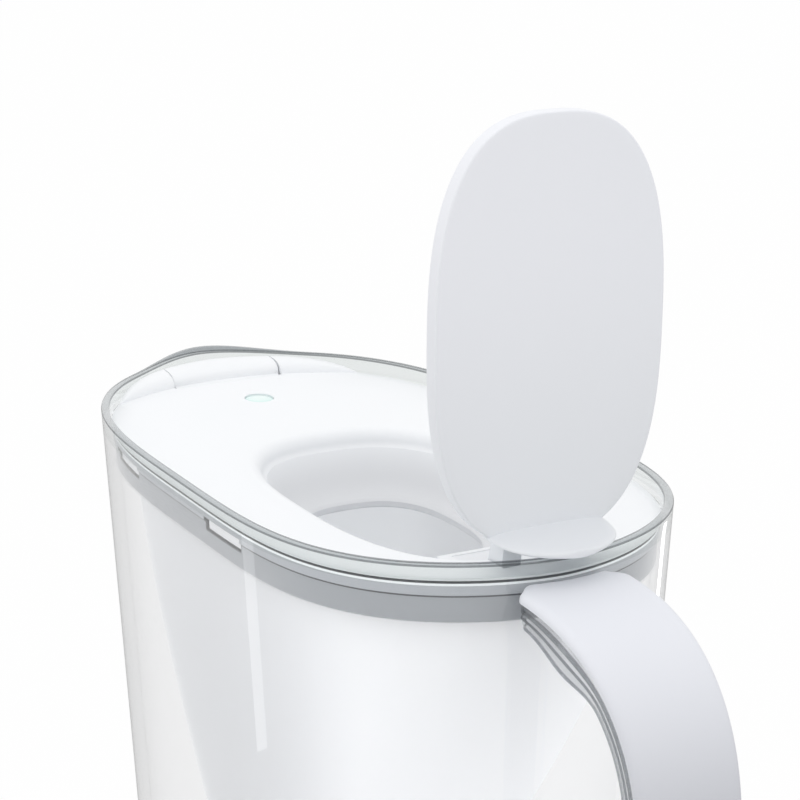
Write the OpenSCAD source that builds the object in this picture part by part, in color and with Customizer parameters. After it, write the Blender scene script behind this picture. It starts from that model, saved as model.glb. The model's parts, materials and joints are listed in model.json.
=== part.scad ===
// Water filter pitcher with a flip-up filling lid.
// Frame: +Z up, origin on the table under the middle of the rim, +X to the handle, -X to the spout.

/* [Jug] */
// Height of the jug rim above the table
jug_h = 264; // [230:1:320]
// Rim centre to its handle end
rim_handle_end = 98; // [92:0.5:120]
// Rim centre to its spout end
rim_spout_end = 107; // [100:0.5:130]
// Half of the width of the jug at the rim
rim_half_w = 55.8; // [52:0.1:68]
// How square the handle end of the outline is
squareness_handle = 4.06; // [2.5:0.01:5]
// How square the spout end of the outline is
squareness_spout = 3.4; // [2.5:0.01:5]
// How square the long sides of the outline are
squareness_side = 1.74; // [1.6:0.01:2.2]
// Draft of the jug walls in degrees
draft = 3; // [1:0.1:4]
// Wall thickness of the rim band above the ledge
rim_wall = 2.2; // [1.6:0.1:3]
// Wall thickness of the jug below the ledge
jug_wall = 3.6; // [3.4:0.1:4.5]
// Thickness of the jug floor
floor_t = 3.2; // [2:0.1:5]
// Radius of the corner between wall and base
base_corner = 11; // [6:0.5:16]
// Height of the foot ring under the base
foot_h = 1.2; // [0.6:0.1:3]
// How far the pouring beak stands out
beak_reach = 6; // [0:0.5:9]
// Half of the width of the beak
beak_half_w = 29; // [20:0.5:36]
// Rise of the beak above the rim
beak_rise = 1.3; // [0:0.1:3]
// Height over which the beak fades into the wall
beak_h = 52; // [30:1:80]

/* [Handle] */
// How far the handle reaches past the rim
handle_reach = 50.7; // [40:0.1:60]
// Width of the clear handle core at its upper root
handle_w = 28; // [22:0.5:34]
// Width of the clear handle core along the grip
grip_w = 24.8; // [20:0.1:34]
// Drop of the handle top below the rim
handle_drop = 5.6; // [5.4:0.1:16]
// Height of the upper bend of the handle
bend_top_h = 50; // [40:1:64]
// Length of the straight grip
grip_straight = 44; // [20:1:70]
// Height of the lower bend of the handle
bend_low_h = 66; // [40:1:80]
// How square the handle bends are
squareness_bend = 2.5; // [2:0.05:3.5]
// Thickness of the soft strip on the handle
strip_t = 2.4; // [1.6:0.1:3.5]
// Overhang of the strip past each side of the core
strip_overhang = 0.8; // [0:0.1:1.5]
// Radius of the strip's corners at its roots
strip_corner = 3.4; // [0.5:0.1:6]
// Thickness of the clear core under the strip
core_t = 6; // [5:0.1:9]
// Extra depth of the core behind its upper root
core_swell = 2.6; // [0:0.1:4]

/* [Funnel] */
// Drop from the rim to the top of the funnel collar
collar_drop = 5.3; // [5:0.1:9]
// Height of the proud lip at the top of the collar
collar_lip_h = 3.4; // [3:0.1:5]
// Height of the whole collar
collar_h = 9.9; // [9.5:0.1:14]
// Wall thickness of the collar
collar_wall = 2; // [1.6:0.1:3]
// Step from the lip back to the collar face
collar_step = 0.5; // [0.2:0.1:1]
// Gap between the jug and what sits inside its rim
rim_gap = 0.4; // [0.3:0.05:0.6]
// Wall thickness of the funnel bowl
funnel_wall = 1.8; // [1.4:0.1:3]
// Width of the shelf between jug rim and bowl
shelf_w = 8; // [7.5:0.1:11]
// Extra width of the shelf at the spout
shelf_spout_extra = 4.5; // [4:0.1:14]
// Height of the weir around the bowl above the shelf
weir_h = 3.1; // [1:0.1:3.3]
// Height of the cartridge seat above the table
seat_h = 126; // [120:1:150]
// Distance of the cartridge axis from the rim centre, towards the spout
socket_offset = 16; // [8:0.5:24]
// Outer radius of the bowl where it reaches the seat
socket_r = 31; // [30:0.5:36]
// How late the bowl narrows, where 1 is a plain cone
bowl_bow = 1.35; // [1:0.05:1.6]
// Depth of the throat below the seat
throat_h = 20; // [12:1:30]

/* [Lid] */
// Drop from the rim to the top of the lid's crest at the spout
lid_drop = 0.7; // [0.3:0.1:2]
// Thickness of the lid plate
lid_t = 2.2; // [1.8:0.1:3]
// Drop from the rim to the edge of the lid's deck
deck_drop = 4.4; // [3:0.1:4.6]
// Crown of the deck
lid_crown = 0.2; // [0:0.05:0.6]
// Distance from the spout end to the crest's foot
crest_w = 13.7; // [12:0.1:16]
// Half of the width across which the crest stands up
crest_half = 37; // [30:0.5:37]
// Depth of the skirt that plugs into the collar
skirt_h = 7; // [4:0.1:7]
// Length of each snap window in the collar
window_l = 20; // [12:0.5:26]
// Height of each snap window
window_h = 3.3; // [2.5:0.1:4]
// Radius of the soft edge around the recess
recess_edge = 3.4; // [2:0.1:4]
// Clearance around the closed flip lid
flip_gap = 0.8; // [0.5:0.1:1.5]
// Depth of the filling hole edge below the rim
hole_drop = 20.3; // [16:0.1:24]
// Half of the length of the filling hole
hole_half_l = 26.9; // [18:0.1:32]
// Half of the width of the filling hole
hole_half_w = 19.1; // [14:0.1:23]
// Offset of the filling hole from the flip lid's middle
hole_offset = 10; // [0:0.5:14]

/* [Flip lid] */
// Length of the flip lid plate
flip_l = 98.6; // [80:0.1:104]
// Width of the flip lid plate
flip_w = 59.4; // [46:0.1:60]
// Thickness of the flip lid plate
flip_t = 4.3; // [3:0.1:5]
// How square the ends of the flip lid are
squareness_flip = 2.68; // [2:0.01:3.5]
// Lean of the open flip lid past upright, in degrees
flip_lean = 0.95; // [0:0.05:8]
// Distance of the open flip lid's face inside the rim end
flip_face_inset = 10.4; // [9:0.1:12]
// Distance from the plate's lower end to the hinge axis
hinge_drop = 10; // [8:0.1:12]
// Distance from the plate's face to the hinge axis
hinge_back = 5.3; // [5:0.1:6]
// Radius of the moulded hinge stubs
hinge_pin_r = 1.6; // [1.2:0.05:2]
// Radius of the hinge ears around their axis
ear_r = 3.4; // [2.8:0.1:3.6]
// Radial clearance of a hinge stub in its bore
hinge_play = 0.1; // [0.05:0.01:0.15]
// Length of each hinge stub
hinge_pin_l = 2.4; // [1.5:0.1:3]
// Half of the distance across the two hinge ears
ears_half_w = 11; // [9:0.1:12]
// Width of each hinge ear
ear_w = 5; // [4:0.1:6]
// Reach of the thumb tab from the plate's face
tab_reach = 15; // [10:0.5:18]
// Width of the thumb tab
tab_w = 31; // [20:0.5:34]
// Thickness of the thumb tab
tab_t = 3; // [2:0.1:4]

/* [Spout flap] */
// Half of the width of the opening for the spout flap
spout_half_w = 17.2; // [12:0.1:22]
// Side clearance of the spout flap
flap_gap = 0.4; // [0.25:0.05:0.8]
// Radius of the spout flap's hinge barrel
flap_barrel_r = 1.6; // [1.4:0.05:2]
// Radius of the spout flap's hinge stubs
flap_pin_r = 0.8; // [0.6:0.05:1]
// Radial clearance of those stubs in their bores
flap_play = 0.1; // [0.05:0.01:0.15]
// Length of each stub of the spout flap
flap_pin_l = 2; // [1:0.1:3]

/* [Indicator] */
// Distance of the indicator window from the spout end
indicator_inset = 38; // [36:0.5:44]
// Length of the indicator window, across the lid
indicator_l = 8; // [6:0.1:14]
// Width of the indicator window, along the lid
indicator_w = 9.2; // [4:0.1:10]
// Length of the housing under the lid, across the lid
module_l = 30; // [26:0.5:36]
// Width of the housing under the lid, along the lid
module_w = 25; // [23.5:0.5:28]
// Height of the housing under the lid
module_h = 11; // [10:0.5:14]
// Wall thickness of the housing
module_wall = 1.2; // [1:0.1:2]
// Diameter of the coin cell
cell_d = 20; // [16:0.5:20]
// Thickness of the coin cell
cell_t = 3.2; // [2:0.1:3.2]

/* [Cartridge] */
// Radius of the cartridge cup at its top
cart_r = 23.6; // [20:0.1:25]
// Radius of the cartridge cup at its bottom
cart_foot_r = 20; // [16:0.1:22]
// Length of the cartridge below the seat
cart_l = 92; // [70:1:100]
// Wall thickness of the cartridge cup
cart_wall = 1.2; // [0.8:0.1:2]
// Width of the flange that rests on the seat
cart_flange = 3.4; // [2.5:0.1:4]
// Clearance between cartridge and throat
cart_gap = 0.8; // [0.5:0.1:1.5]
// Thickness of the sealing gasket
gasket_t = 1.6; // [1:0.1:2.4]

/* [Hidden] */

$fn = 48;
eps = 0.01;

// Points around each outline, closer together where it bends
quarter_steps = 14;
function spread(u) = 90 * (1 - pow(1 - u, 1.7));
quarter = [for (i = [0 : quarter_steps - 1]) spread(i / quarter_steps)];
around = concat(
    quarter,
    [for (i = [0 : quarter_steps - 1]) 180 - (i == 0 ? 90 : quarter[quarter_steps - i])],
    [for (a = quarter) 180 + a],
    [for (i = [0 : quarter_steps - 1]) 360 - (i == 0 ? 90 : quarter[quarter_steps - i])]
);

// ---- Heights and places that several pieces share ----
rim_z = jug_h;
ledge_z = rim_z - collar_drop - collar_h;
collar_top_z = rim_z - collar_drop;
shelf_z = ledge_z + 1.6;

flip_face_x = rim_handle_end - flip_face_inset;
hinge_x = flip_face_x - hinge_drop * sin(flip_lean) - hinge_back * cos(flip_lean);
hinge_z = rim_z + 0.26 - hinge_drop * cos(flip_lean) + hinge_back * sin(flip_lean);
flip_closed_z = hinge_z + hinge_back;
flip_mid_x = hinge_x - hinge_drop - flip_l / 2;

// ---- Outlines ----
// Point of a rounded outline at angle t, with its own half length towards +X and -X
function outline(t, plus, minus, half_w, sq_plus, sq_minus, sq_side) =
    let (c = cos(t), s = sin(t))
    [
        c >= 0 ? plus * pow(c, 2 / sq_plus) : -minus * pow(-c, 2 / sq_minus),
        sign(s) * half_w * pow(abs(s), 2 / sq_side)
    ];

// Share of the beak that reaches the point (x, y) at height z
function beak(x, y, z) =
    let (
        side = x < 0 ? pow(cos(90 * min(1, abs(y) / beak_half_w)), 2) : 0,
        up = max(0, min(1, (z - rim_z + beak_h) / beak_h))
    )
    side * up * up * (3 - 2 * up);

// The rim's outline, moved inwards by inset
function rim_point(t, inset) = outline(
    t, rim_handle_end - inset, rim_spout_end - inset, rim_half_w - inset,
    squareness_handle, squareness_spout, squareness_side
);
function rim_ring(inset, z) = [for (t = around) [rim_point(t, inset).x, rim_point(t, inset).y, z]];

// The jug's outline at depth z, with the draft and the beak
function jug_ring(inset, z) = [
    for (t = around)
        let (p = rim_point(t, inset + (rim_z - z) * tan(draft)), b = beak(p.x, p.y, z))
        [p.x - beak_reach * b, p.y, z + (z > rim_z - 8 ? beak_rise * b : 0)]
];

// The flip lid's outline when closed, grown by more, and stretched to the hinge
recess_stretch = 7;
function recess_point(t, more) =
    let (p = outline(
        t, flip_l / 2 + recess_stretch + more, flip_l / 2 + more, flip_w / 2 + more,
        squareness_flip, squareness_flip, squareness_flip
    ))
    [flip_mid_x + p.x, p.y];
function recess_ring(more, z) = [
    for (t = around) [recess_point(t, flip_gap + more).x, recess_point(t, flip_gap + more).y, z]
];

// The filling hole
function hole_point(t, more) =
    let (p = outline(
        t, hole_half_l + more, hole_half_l + more, hole_half_w + more,
        squareness_flip, squareness_flip, squareness_flip
    ))
    [flip_mid_x - hole_offset + p.x, p.y];
function hole_ring(more, z) = [for (t = around) [hole_point(t, more).x, hole_point(t, more).y, z]];

// The bowl's outline at share s of the way from the shelf to the round seat
function bowl_point(t, s, inset) =
    let (
        p = outline(
            t, rim_handle_end - shelf_w - inset,
            rim_spout_end - shelf_w - shelf_spout_extra - inset,
            rim_half_w - shelf_w - inset,
            squareness_handle, squareness_spout, squareness_side
        ),
        q = [(socket_r - inset) * cos(t) - socket_offset, (socket_r - inset) * sin(t)]
    )
    p * (1 - s) + q * s;
function bowl_ring(s, inset, z) =
    [for (t = around) [bowl_point(t, s, inset).x, bowl_point(t, s, inset).y, z]];
// Top of the weir: it stands up at the spout and fades out along the sides
function weir_ring(inset) = [
    for (p = bowl_ring(0, inset, shelf_z))
        let (s = max(0, min(1, (-p.x - rim_spout_end * 0.5) / 25)))
        [p.x, p.y, shelf_z + 0.2 + (weir_h - 0.2) * s * s * (3 - 2 * s)]
];
function round_ring(r, z) = [for (t = around) [r * cos(t) - socket_offset, r * sin(t), z]];

function mix_rings(a, b, s, z) =
    [for (i = [0 : len(a) - 1]) [a[i].x * (1 - s) + b[i].x * s, a[i].y * (1 - s) + b[i].y * s, z]];

// The deck's crowned surface
function lid_z(x, y) =
    rim_z - deck_drop
    + lid_crown * (1 - pow(y / rim_half_w, 2)) * (1 - pow(x / rim_spout_end, 4));
function on_lid(ring, drop) = [for (p = ring) [p.x, p.y, lid_z(p.x, p.y) - drop]];

// ---- Skins over rings of points ----
// A wall that closes on itself: the last ring joins the first
module ring_tube(rings) {
    n = len(rings[0]);
    m = len(rings);
    polyhedron(
        points = [for (r = rings) each r],
        faces = [
            for (i = [0 : m - 1], j = [0 : n - 1])
                let (k = (i + 1) % m, l = (j + 1) % n)
                [i * n + j, k * n + j, k * n + l, i * n + l]
        ],
        convexity = 6
    );
}

// A body from the first ring to the last, each closed by a flat face
module ring_body(rings) {
    n = len(rings[0]);
    m = len(rings);
    polyhedron(
        points = [for (r = rings) each r],
        faces = concat(
            [[for (j = [0 : n - 1]) j]],
            [
                for (i = [0 : m - 2], j = [0 : n - 1])
                    let (l = (j + 1) % n)
                    [i * n + j, (i + 1) * n + j, (i + 1) * n + l, i * n + l]
            ],
            [[for (j = [n - 1 : -1 : 0]) (m - 1) * n + j]]
        ),
        convexity = 6
    );
}

// A block from low corner to high corner
module block(low, high) {
    translate(low) cube(high - low);
}

// ---- Jug ----
base_arc = [for (a = [0 : 22.5 : 90]) [base_corner * (1 - sin(a)), base_corner * (1 - cos(a))]];
wall_heights = [0.45, 0.78, 0.86, 0.92, 0.96, 0.98];

module jug_shell() {
    inner_corner = base_corner - jug_wall;
    ring_body(concat(
        [jug_ring(base_corner + 6, foot_h), jug_ring(base_corner + 4, 0)],
        [for (p = base_arc) jug_ring(p.x, p.y)],
        [for (h = wall_heights) jug_ring(0, h * rim_z)],
        [
            jug_ring(0, rim_z - 0.8),
            jug_ring(0.6, rim_z),
            jug_ring(rim_wall - 0.6, rim_z),
            jug_ring(rim_wall, rim_z - 0.8),
            jug_ring(rim_wall, ledge_z),
            jug_ring(jug_wall, ledge_z)
        ],
        [for (h = [0.92, 0.86, 0.78, 0.45]) jug_ring(jug_wall, h * rim_z)],
        [
            for (a = [90 : -30 : 0])
                jug_ring(jug_wall + inner_corner * (1 - sin(a)), floor_t + inner_corner * (1 - cos(a)))
        ]
    ));
}

// Handle profile: depth d under the grip's face, at station u from 0 (upper root) to 3 (lower root)
handle_out_x = rim_handle_end + handle_reach;
root_bite = 2.5;
top_root_x = rim_handle_end - root_bite;
bend_top_z = rim_z - handle_drop - bend_top_h;
bend_low_z = bend_top_z - grip_straight;
low_root_x = rim_handle_end - (rim_z - bend_low_z + bend_low_h) * tan(draft) - root_bite;
function bend(a) = pow(sin(a), 2 / squareness_bend);
function handle_point(u, d) =
    u <= 1
        ? [
            top_root_x + (handle_out_x - top_root_x - d) * bend(90 * u),
            bend_top_z + (bend_top_h - d) * bend(90 - 90 * u)
        ]
        : u <= 2
            ? [handle_out_x - d, bend_top_z - grip_straight * (u - 1)]
            : [
                low_root_x + (handle_out_x - low_root_x - d) * bend(270 - 90 * u),
                bend_low_z - (bend_low_h - d) * bend(90 * u - 180)
            ];
bend_steps = 12;
root_steps = [0.024, 0.045];
stations = concat(
    [0],
    root_steps,
    [for (i = [1 : bend_steps - 1]) i / bend_steps],
    [1, 1.33, 1.66],
    [for (i = [0 : bend_steps - 1]) 2 + i / bend_steps],
    [for (i = [1 : -1 : 0]) 3 - root_steps[i]],
    [3]
);
// Share of the root's width that the handle has at station u
function narrowing(u) = 1 - (1 - grip_w / handle_w) * (1 - cos(180 * min(1, u))) / 2;
// Share of the width that a rounded corner of radius r leaves near the roots
function cornered(u, r) =
    let (
        root_x = u < 1.5 ? top_root_x : low_root_x,
        way = max(0, min(r, handle_point(u, 0).x - root_x - root_bite))
    )
    1 - (r - sqrt(r * r - pow(r - way, 2))) / strip_half;
// Swell of the core just behind the upper root
function swell(u) = u < 0.5 ? core_swell * pow(sin(360 * u), 2) : 0;

// Where the wall at height z, moved inwards by inset, crosses the line at y near the handle
function handle_wall_x(y, z, inset) =
    let (
        in = inset + (rim_z - z) * tan(draft),
        t = asin(pow(abs(y) / (rim_half_w - in), squareness_side / 2))
    )
    (rim_handle_end - in) * pow(cos(t), 2 / squareness_handle);

// Shares of the half width at which a section has points, so that its ends can follow the wall
across = [1, 0.5, 0, -0.5, -1];

// Sweeps a section of [across, depth] points along the handle; both ends follow the jug wall.
// A section is a row outside, one side, a row inside and the other side.
module handle_sweep(section, end_inset, corner_r) {
    n = len(section);
    last = (len(stations) - 1) * n;
    row = len(across);
    side = (n - 2 * row) / 2;
    cap = concat(
        [for (i = [0 : row - 2]) [i, i + 1, n - side - 2 - i, n - side - 1 - i]],
        [
            [for (i = [row - 1 : row + side]) i],
            [for (i = [n - side - 1 : n]) i % n]
        ]
    );
    polyhedron(
        points = [
            for (u = stations, p = section)
                let (
                    h = handle_point(u, p.y + (p.y > strip_t + core_t - eps ? swell(u) : 0)),
                    y = p.x * narrowing(u) * cornered(u, corner_r)
                )
                [u == 0 || u == 3 ? handle_wall_x(y, h.y, end_inset) : h.x, y, h.y]
        ],
        faces = concat(
            cap,
            [
                for (i = [0 : len(stations) - 2], j = [0 : n - 1])
                    let (l = (j + 1) % n)
                    [i * n + j, (i + 1) * n + j, (i + 1) * n + l, i * n + l]
            ],
            [for (f = cap) [for (i = [len(f) - 1 : -1 : 0]) last + f[i]]]
        ),
        convexity = 6
    );
}

core_half = handle_w / 2;
core_section = concat(
    [for (k = across) [k * core_half, strip_t]],
    [
        [-core_half, strip_t + core_t * 0.35],
        [-core_half + 1.2, strip_t + core_t * 0.48],
        [-core_half + 1.2, strip_t + core_t * 0.72]
    ],
    [for (k = across) [-k * (core_half - 2.8), strip_t + core_t]],
    [
        [core_half - 1.2, strip_t + core_t * 0.72],
        [core_half - 1.2, strip_t + core_t * 0.48],
        [core_half, strip_t + core_t * 0.35]
    ]
);

module jug() {
    color([0.86, 0.89, 0.91, 0.45]) union() {
        jug_shell();
        handle_sweep(core_section, rim_wall / 2, eps);
    }
}

strip_half = core_half + strip_overhang;
strip_root_gap = 0.3;
strip_in = strip_t - 0.1;
strip_section = concat(
    [for (k = across) [k * (strip_half - 2.4), 0]],
    [
        [-strip_half + 0.7, 0.5],
        [-strip_half, 1.3]
    ],
    [for (k = across) [-k * strip_half, strip_in]],
    [
        [strip_half, 1.3],
        [strip_half - 0.7, 0.5]
    ]
);
module handle_grip() {
    color([0.90, 0.92, 0.94]) 
        handle_sweep(strip_section, -strip_root_gap, strip_corner);
}

// ---- Funnel ----
collar_inset = rim_wall + rim_gap + (collar_drop + collar_lip_h) * tan(draft);
collar_in = collar_inset + collar_wall;
bowl_steps = [0.2, 0.4, 0.6, 0.8];
bowl_h = ledge_z - seat_h;
function bowl_share(f) = pow(f, bowl_bow);
throat_r = cart_r + cart_gap;
seat_t = 2.6;
window_z = rim_z - collar_drop - collar_lip_h - 0.5;
window_x = [rim_handle_end - 75, -(rim_spout_end - 64)];
// Where the rim's outline, moved inwards by inset, crosses the line at x on the side
function side_y(x, inset) =
    let (
        end = x > 0 ? rim_handle_end : rim_spout_end,
        sq = x > 0 ? squareness_handle : squareness_spout,
        c = pow(abs(x) / (end - inset), sq / 2)
    )
    (rim_half_w - inset) * pow(1 - c * c, 1 / squareness_side);
slot_w = 9;
slot_reach = 2.1;
slot_pitch = 11;

// Cuts that let filtered water up behind the spout flap
module pour_slots() {
    x_mid = -(rim_spout_end - shelf_w - shelf_spout_extra + slot_reach + 0.9);
    for (i = [-1 : 1])
        translate([x_mid + abs(i) * 0.9, i * slot_pitch, ledge_z - 1])
            linear_extrude(5) square([2 * slot_reach, slot_w], center = true);
}

module snap_windows() {
    for (x = window_x, side = [-1, 1])
        translate([x, side * side_y(x, collar_in), window_z])
            cube([window_l, 8, window_h], center = true);
}

module funnel() {
    color([0.93, 0.95, 0.96, 0.8]) difference() {
        ring_tube(concat(
            [
                rim_ring(collar_inset, collar_top_z),
                rim_ring(collar_inset, collar_top_z - collar_lip_h),
                rim_ring(collar_inset + collar_step, collar_top_z - collar_lip_h),
                rim_ring(collar_inset + collar_step, ledge_z),
                bowl_ring(0, 0, ledge_z)
            ],
            [for (f = bowl_steps) bowl_ring(bowl_share(f), 0, ledge_z - bowl_h * f)],
            [
                round_ring(socket_r, seat_h - 1.2),
                round_ring(throat_r + funnel_wall, seat_h - seat_t),
                round_ring(throat_r + funnel_wall, seat_h - throat_h),
                round_ring(throat_r, seat_h - throat_h),
                round_ring(throat_r, seat_h),
                round_ring(socket_r - funnel_wall, seat_h)
            ],
            [
                for (i = [len(bowl_steps) - 1 : -1 : 0])
                    bowl_ring(bowl_share(bowl_steps[i]), funnel_wall, ledge_z - bowl_h * bowl_steps[i] + 0.6)
            ],
            [
                bowl_ring(0, funnel_wall, shelf_z),
                weir_ring(funnel_wall),
                weir_ring(0),
                bowl_ring(0, 0, shelf_z),
                rim_ring(collar_in + 0.4, shelf_z),
                rim_ring(collar_in, collar_top_z)
            ]
        ));
        snap_windows();
        pour_slots();
    }
}

// ---- Lid ----
lid_inset = rim_wall + rim_gap + 0.1;
skirt_gap = 0.4;
skirt_wall = 1.6;
skirt_inset = collar_in + skirt_gap;
skirt_z = collar_top_z - skirt_h;
ledge_seat_z = flip_closed_z - flip_t - 0.3;
hole_z = rim_z - hole_drop;

// The dished wall between recess and hole, as shares of the way; it is steepest at its top
dish_steps = [0.1, 0.28, 0.5, 0.75];
function dish_z(s) = hole_z + 0.5 + (ledge_seat_z - hole_z - 0.5) * pow(1 - s, 1.9);

module lid_shell() {
    mid_ring = mix_rings(rim_ring(lid_inset, 0), recess_ring(recess_edge, 0), 0.5, 0);
    skirt_in = skirt_inset + skirt_wall;
    ring_tube(concat(
        [
            rim_ring(lid_inset, collar_top_z),
            on_lid(rim_ring(lid_inset, 0), 0.3),
            on_lid(rim_ring(lid_inset + 0.3, 0), 0),
            on_lid(mid_ring, 0),
            on_lid(recess_ring(recess_edge, 0), 0),
            on_lid(recess_ring(recess_edge * 0.5, 0), recess_edge * 0.14),
            on_lid(recess_ring(recess_edge * 0.14, 0), recess_edge * 0.5),
            recess_ring(0, ledge_seat_z + 0.5),
            recess_ring(-1.2, ledge_seat_z)
        ],
        [for (s = dish_steps) mix_rings(recess_ring(-1.2, 0), hole_ring(1.2, 0), s, dish_z(s))],
        [
            hole_ring(1.2, hole_z + 0.5),
            hole_ring(0, hole_z),
            hole_ring(0, hole_z - lid_t + 0.3),
            hole_ring(1.2, hole_z - lid_t)
        ],
        [
            for (i = [len(dish_steps) - 1 : -1 : 0])
                let (s = dish_steps[i])
                mix_rings(recess_ring(1, 0), hole_ring(1.2, 0), s, dish_z(s) - lid_t)
        ],
        [
            recess_ring(1.6, ledge_seat_z - lid_t + 0.8),
            on_lid(recess_ring(recess_edge + 0.6, 0), lid_t + 0.4),
            on_lid(mix_rings(rim_ring(skirt_in + 0.6, 0), recess_ring(recess_edge, 0), 0.5, 0), lid_t),
            on_lid(rim_ring(skirt_in + 0.6, 0), lid_t),
            on_lid(rim_ring(skirt_in, 0), lid_t + 0.6),
            rim_ring(skirt_in, skirt_z),
            rim_ring(skirt_inset, skirt_z),
            rim_ring(skirt_inset, collar_top_z)
        ]
    ));
}

// Where the rim's outline, moved inwards by inset, crosses the line at y near the spout
function spout_x(y, inset) =
    let (t = asin(pow(abs(y) / (rim_half_w - inset), squareness_side / 2)))
    -(rim_spout_end - inset) * pow(cos(t), 2 / squareness_spout);

// Crest behind the beak: a rounded bank that ends in a bowed foot
crest_bow = 0.0083;
crest_top_z = rim_z - lid_drop;
crest_floor_z = collar_top_z + 0.3;
crest_round = 2.7;
crest_steps = [0.3, 0.55, 0.75, 0.88, 0.96, 1];
function crest_foot(y) = crest_w - rim_spout_end + crest_bow * y * y;
function bank(s) = pow(1 - pow(s, crest_round), 1 / crest_round);
// The bank over the line at y, from the outer wall to the foot
function crest_bank(y, inset, foot) =
    let (out = spout_x(y, inset))
    [
        [out, y, crest_top_z - 0.5],
        [out + 0.4, y, crest_top_z],
        for (s = crest_steps)
            let (x = out + 0.4 + (foot - out - 0.4) * s)
            [x, y, lid_z(x, y) + (crest_top_z - lid_z(x, y)) * bank(s)]
    ];

module lid_crest() {
    inset = lid_inset + 0.08;
    steps = 9;
    ring_body([
        for (i = [-steps : steps])
            let (y = crest_half * i / steps)
            concat(
                [[spout_x(y, inset), y, crest_floor_z]],
                crest_bank(y, inset, crest_foot(y)),
                [[crest_foot(y), y, crest_floor_z]]
            )
    ]);
}

// Pocket at the handle end, in which the flip lid's ears turn from open to closed
pocket_gap = 0.45;
pocket_wall = 1.5;
pocket_half_w = ears_half_w + pocket_gap;
bearing_t = hinge_pin_l + 0.8;
ear_root = 4;
ear_root_l = 4;
closed_root_x = hinge_x - hinge_drop - ear_root - ear_root_l;

module pocket_profile(grow) {
    hull() {
        translate([hinge_x, hinge_z]) circle(r = ear_r + grow);
        translate([closed_root_x - grow, flip_closed_z - flip_t - grow]) square([ear_root_l, 2]);
        translate([flip_face_x - 4, rim_z - 3]) square([4.2 + grow, 2]);
    }
}

// Turns a profile in X and Z into a bar along Y, half_w to each side
module bar(half_w) {
    rotate([90, 0, 0]) linear_extrude(2 * half_w, center = true) children();
}

// The trough, and above the shelf the thicker cheeks that hold the hinge stubs
module pocket_shell() {
    top_z = hinge_z + hinge_pin_r + hinge_play + 1;
    trough_half_w = pocket_half_w + 0.35;
    intersection() {
        bar(pocket_half_w + bearing_t) pocket_profile(pocket_gap + pocket_wall);
        union() {
            block(
                [closed_root_x - 10, -trough_half_w, hinge_z - 2 * ear_r],
                [flip_face_x + 4, trough_half_w, top_z]
            );
            block([closed_root_x - 10, -rim_half_w, shelf_z + 0.3], [flip_face_x + 4, rim_half_w, top_z]);
        }
    }
}

// Boss at each end of the spout opening, with the bore for the flap's stub
flap_axis_x = crest_foot(0) + 1.6;
flap_axis_z = lid_z(flap_axis_x, 0) - 0.1 - flap_barrel_r;
flap_boss = [3.6, flap_pin_l + 1.4, 3.2];

module lid_boss(side) {
    translate([flap_axis_x, side * (spout_half_w + flap_boss.y / 2), flap_axis_z - 0.4])
        cube(flap_boss, center = true);
}

// Snap lug on the skirt that looks through a collar window; its face follows the wall
module lid_lug(x, side) {
    reach = skirt_gap + collar_wall * 0.55;
    lug_h = window_h - 0.9;
    intersection() {
        translate([x, side * (side_y(x, skirt_inset + skirt_wall) + 3), window_z])
            cube([window_l - 2, 6, lug_h], center = true);
        translate([0, 0, window_z - lug_h]) linear_extrude(2 * lug_h)
            polygon([for (t = around) rim_point(t, skirt_inset - reach)]);
    }
}

module lid() {
    color([0.97, 0.98, 0.99]) difference() {
        union() {
            lid_shell();
            lid_crest();
            pocket_shell();
            for (side = [-1, 1]) lid_boss(side);
            for (x = window_x, side = [-1, 1]) lid_lug(x, side);
        }
        bar(pocket_half_w) {
            pocket_profile(pocket_gap);
            translate([closed_root_x, rim_z - 3]) square([flip_face_x - closed_root_x, 12]);
        }
        // Room for the plate's end when it is closed
        block(
            [closed_root_x - 10, -pocket_half_w - bearing_t - 1, ledge_seat_z],
            [hinge_x - hinge_drop + flip_gap, pocket_half_w + bearing_t + 1, rim_z + 10]
        );
        translate([hinge_x, 0, hinge_z]) rotate([90, 0, 0])
            cylinder(r = hinge_pin_r + hinge_play, h = 2 * (pocket_half_w + bearing_t + 1), center = true);
        block(
            [-rim_spout_end - 5, -spout_half_w, skirt_z - 1],
            [flap_axis_x + flap_barrel_r + 0.3, spout_half_w, rim_z + 5]
        );
        translate([flap_axis_x, 0, flap_axis_z]) rotate([90, 0, 0])
            cylinder(r = flap_pin_r + flap_play, h = 2 * (spout_half_w + flap_pin_l + 0.3), center = true);
        translate([indicator_x, 0, rim_z - 20]) linear_extrude(30) oval(indicator_l + 0.3, indicator_w + 0.3);
    }
}

// ---- Spout flap ----
module spout_flap() {
    half = spout_half_w - flap_gap;
    inset = lid_inset + 0.1;
    deck = lid_z(flap_axis_x, 0);
    color([0.97, 0.98, 0.99]) union() {
        ring_body([
            for (i = [-6 : 6])
                let (y = half * i / 6, foot = min(crest_foot(y), flap_axis_x - 0.1), out = spout_x(y, inset))
                concat(
                    [[out + 2, y, crest_floor_z], [out, y, crest_floor_z]],
                    crest_bank(y, inset, foot),
                    [
                        [flap_axis_x, y, deck - 0.1],
                        [flap_axis_x, y, deck - 2],
                        [foot - 1.2, y, deck - 1.4],
                        [foot - 2.4, y, deck + 0.2],
                        [out + 2.8, y, crest_top_z - 2],
                        [out + 2, y, crest_top_z - 2.6]
                    ]
                )
        ]);
        translate([flap_axis_x, 0, flap_axis_z]) rotate([90, 0, 0]) {
            cylinder(r = flap_barrel_r, h = 2 * half - 0.6, center = true);
            cylinder(r = flap_pin_r, h = 2 * (half + flap_pin_l), center = true);
        }
    }
}

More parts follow.
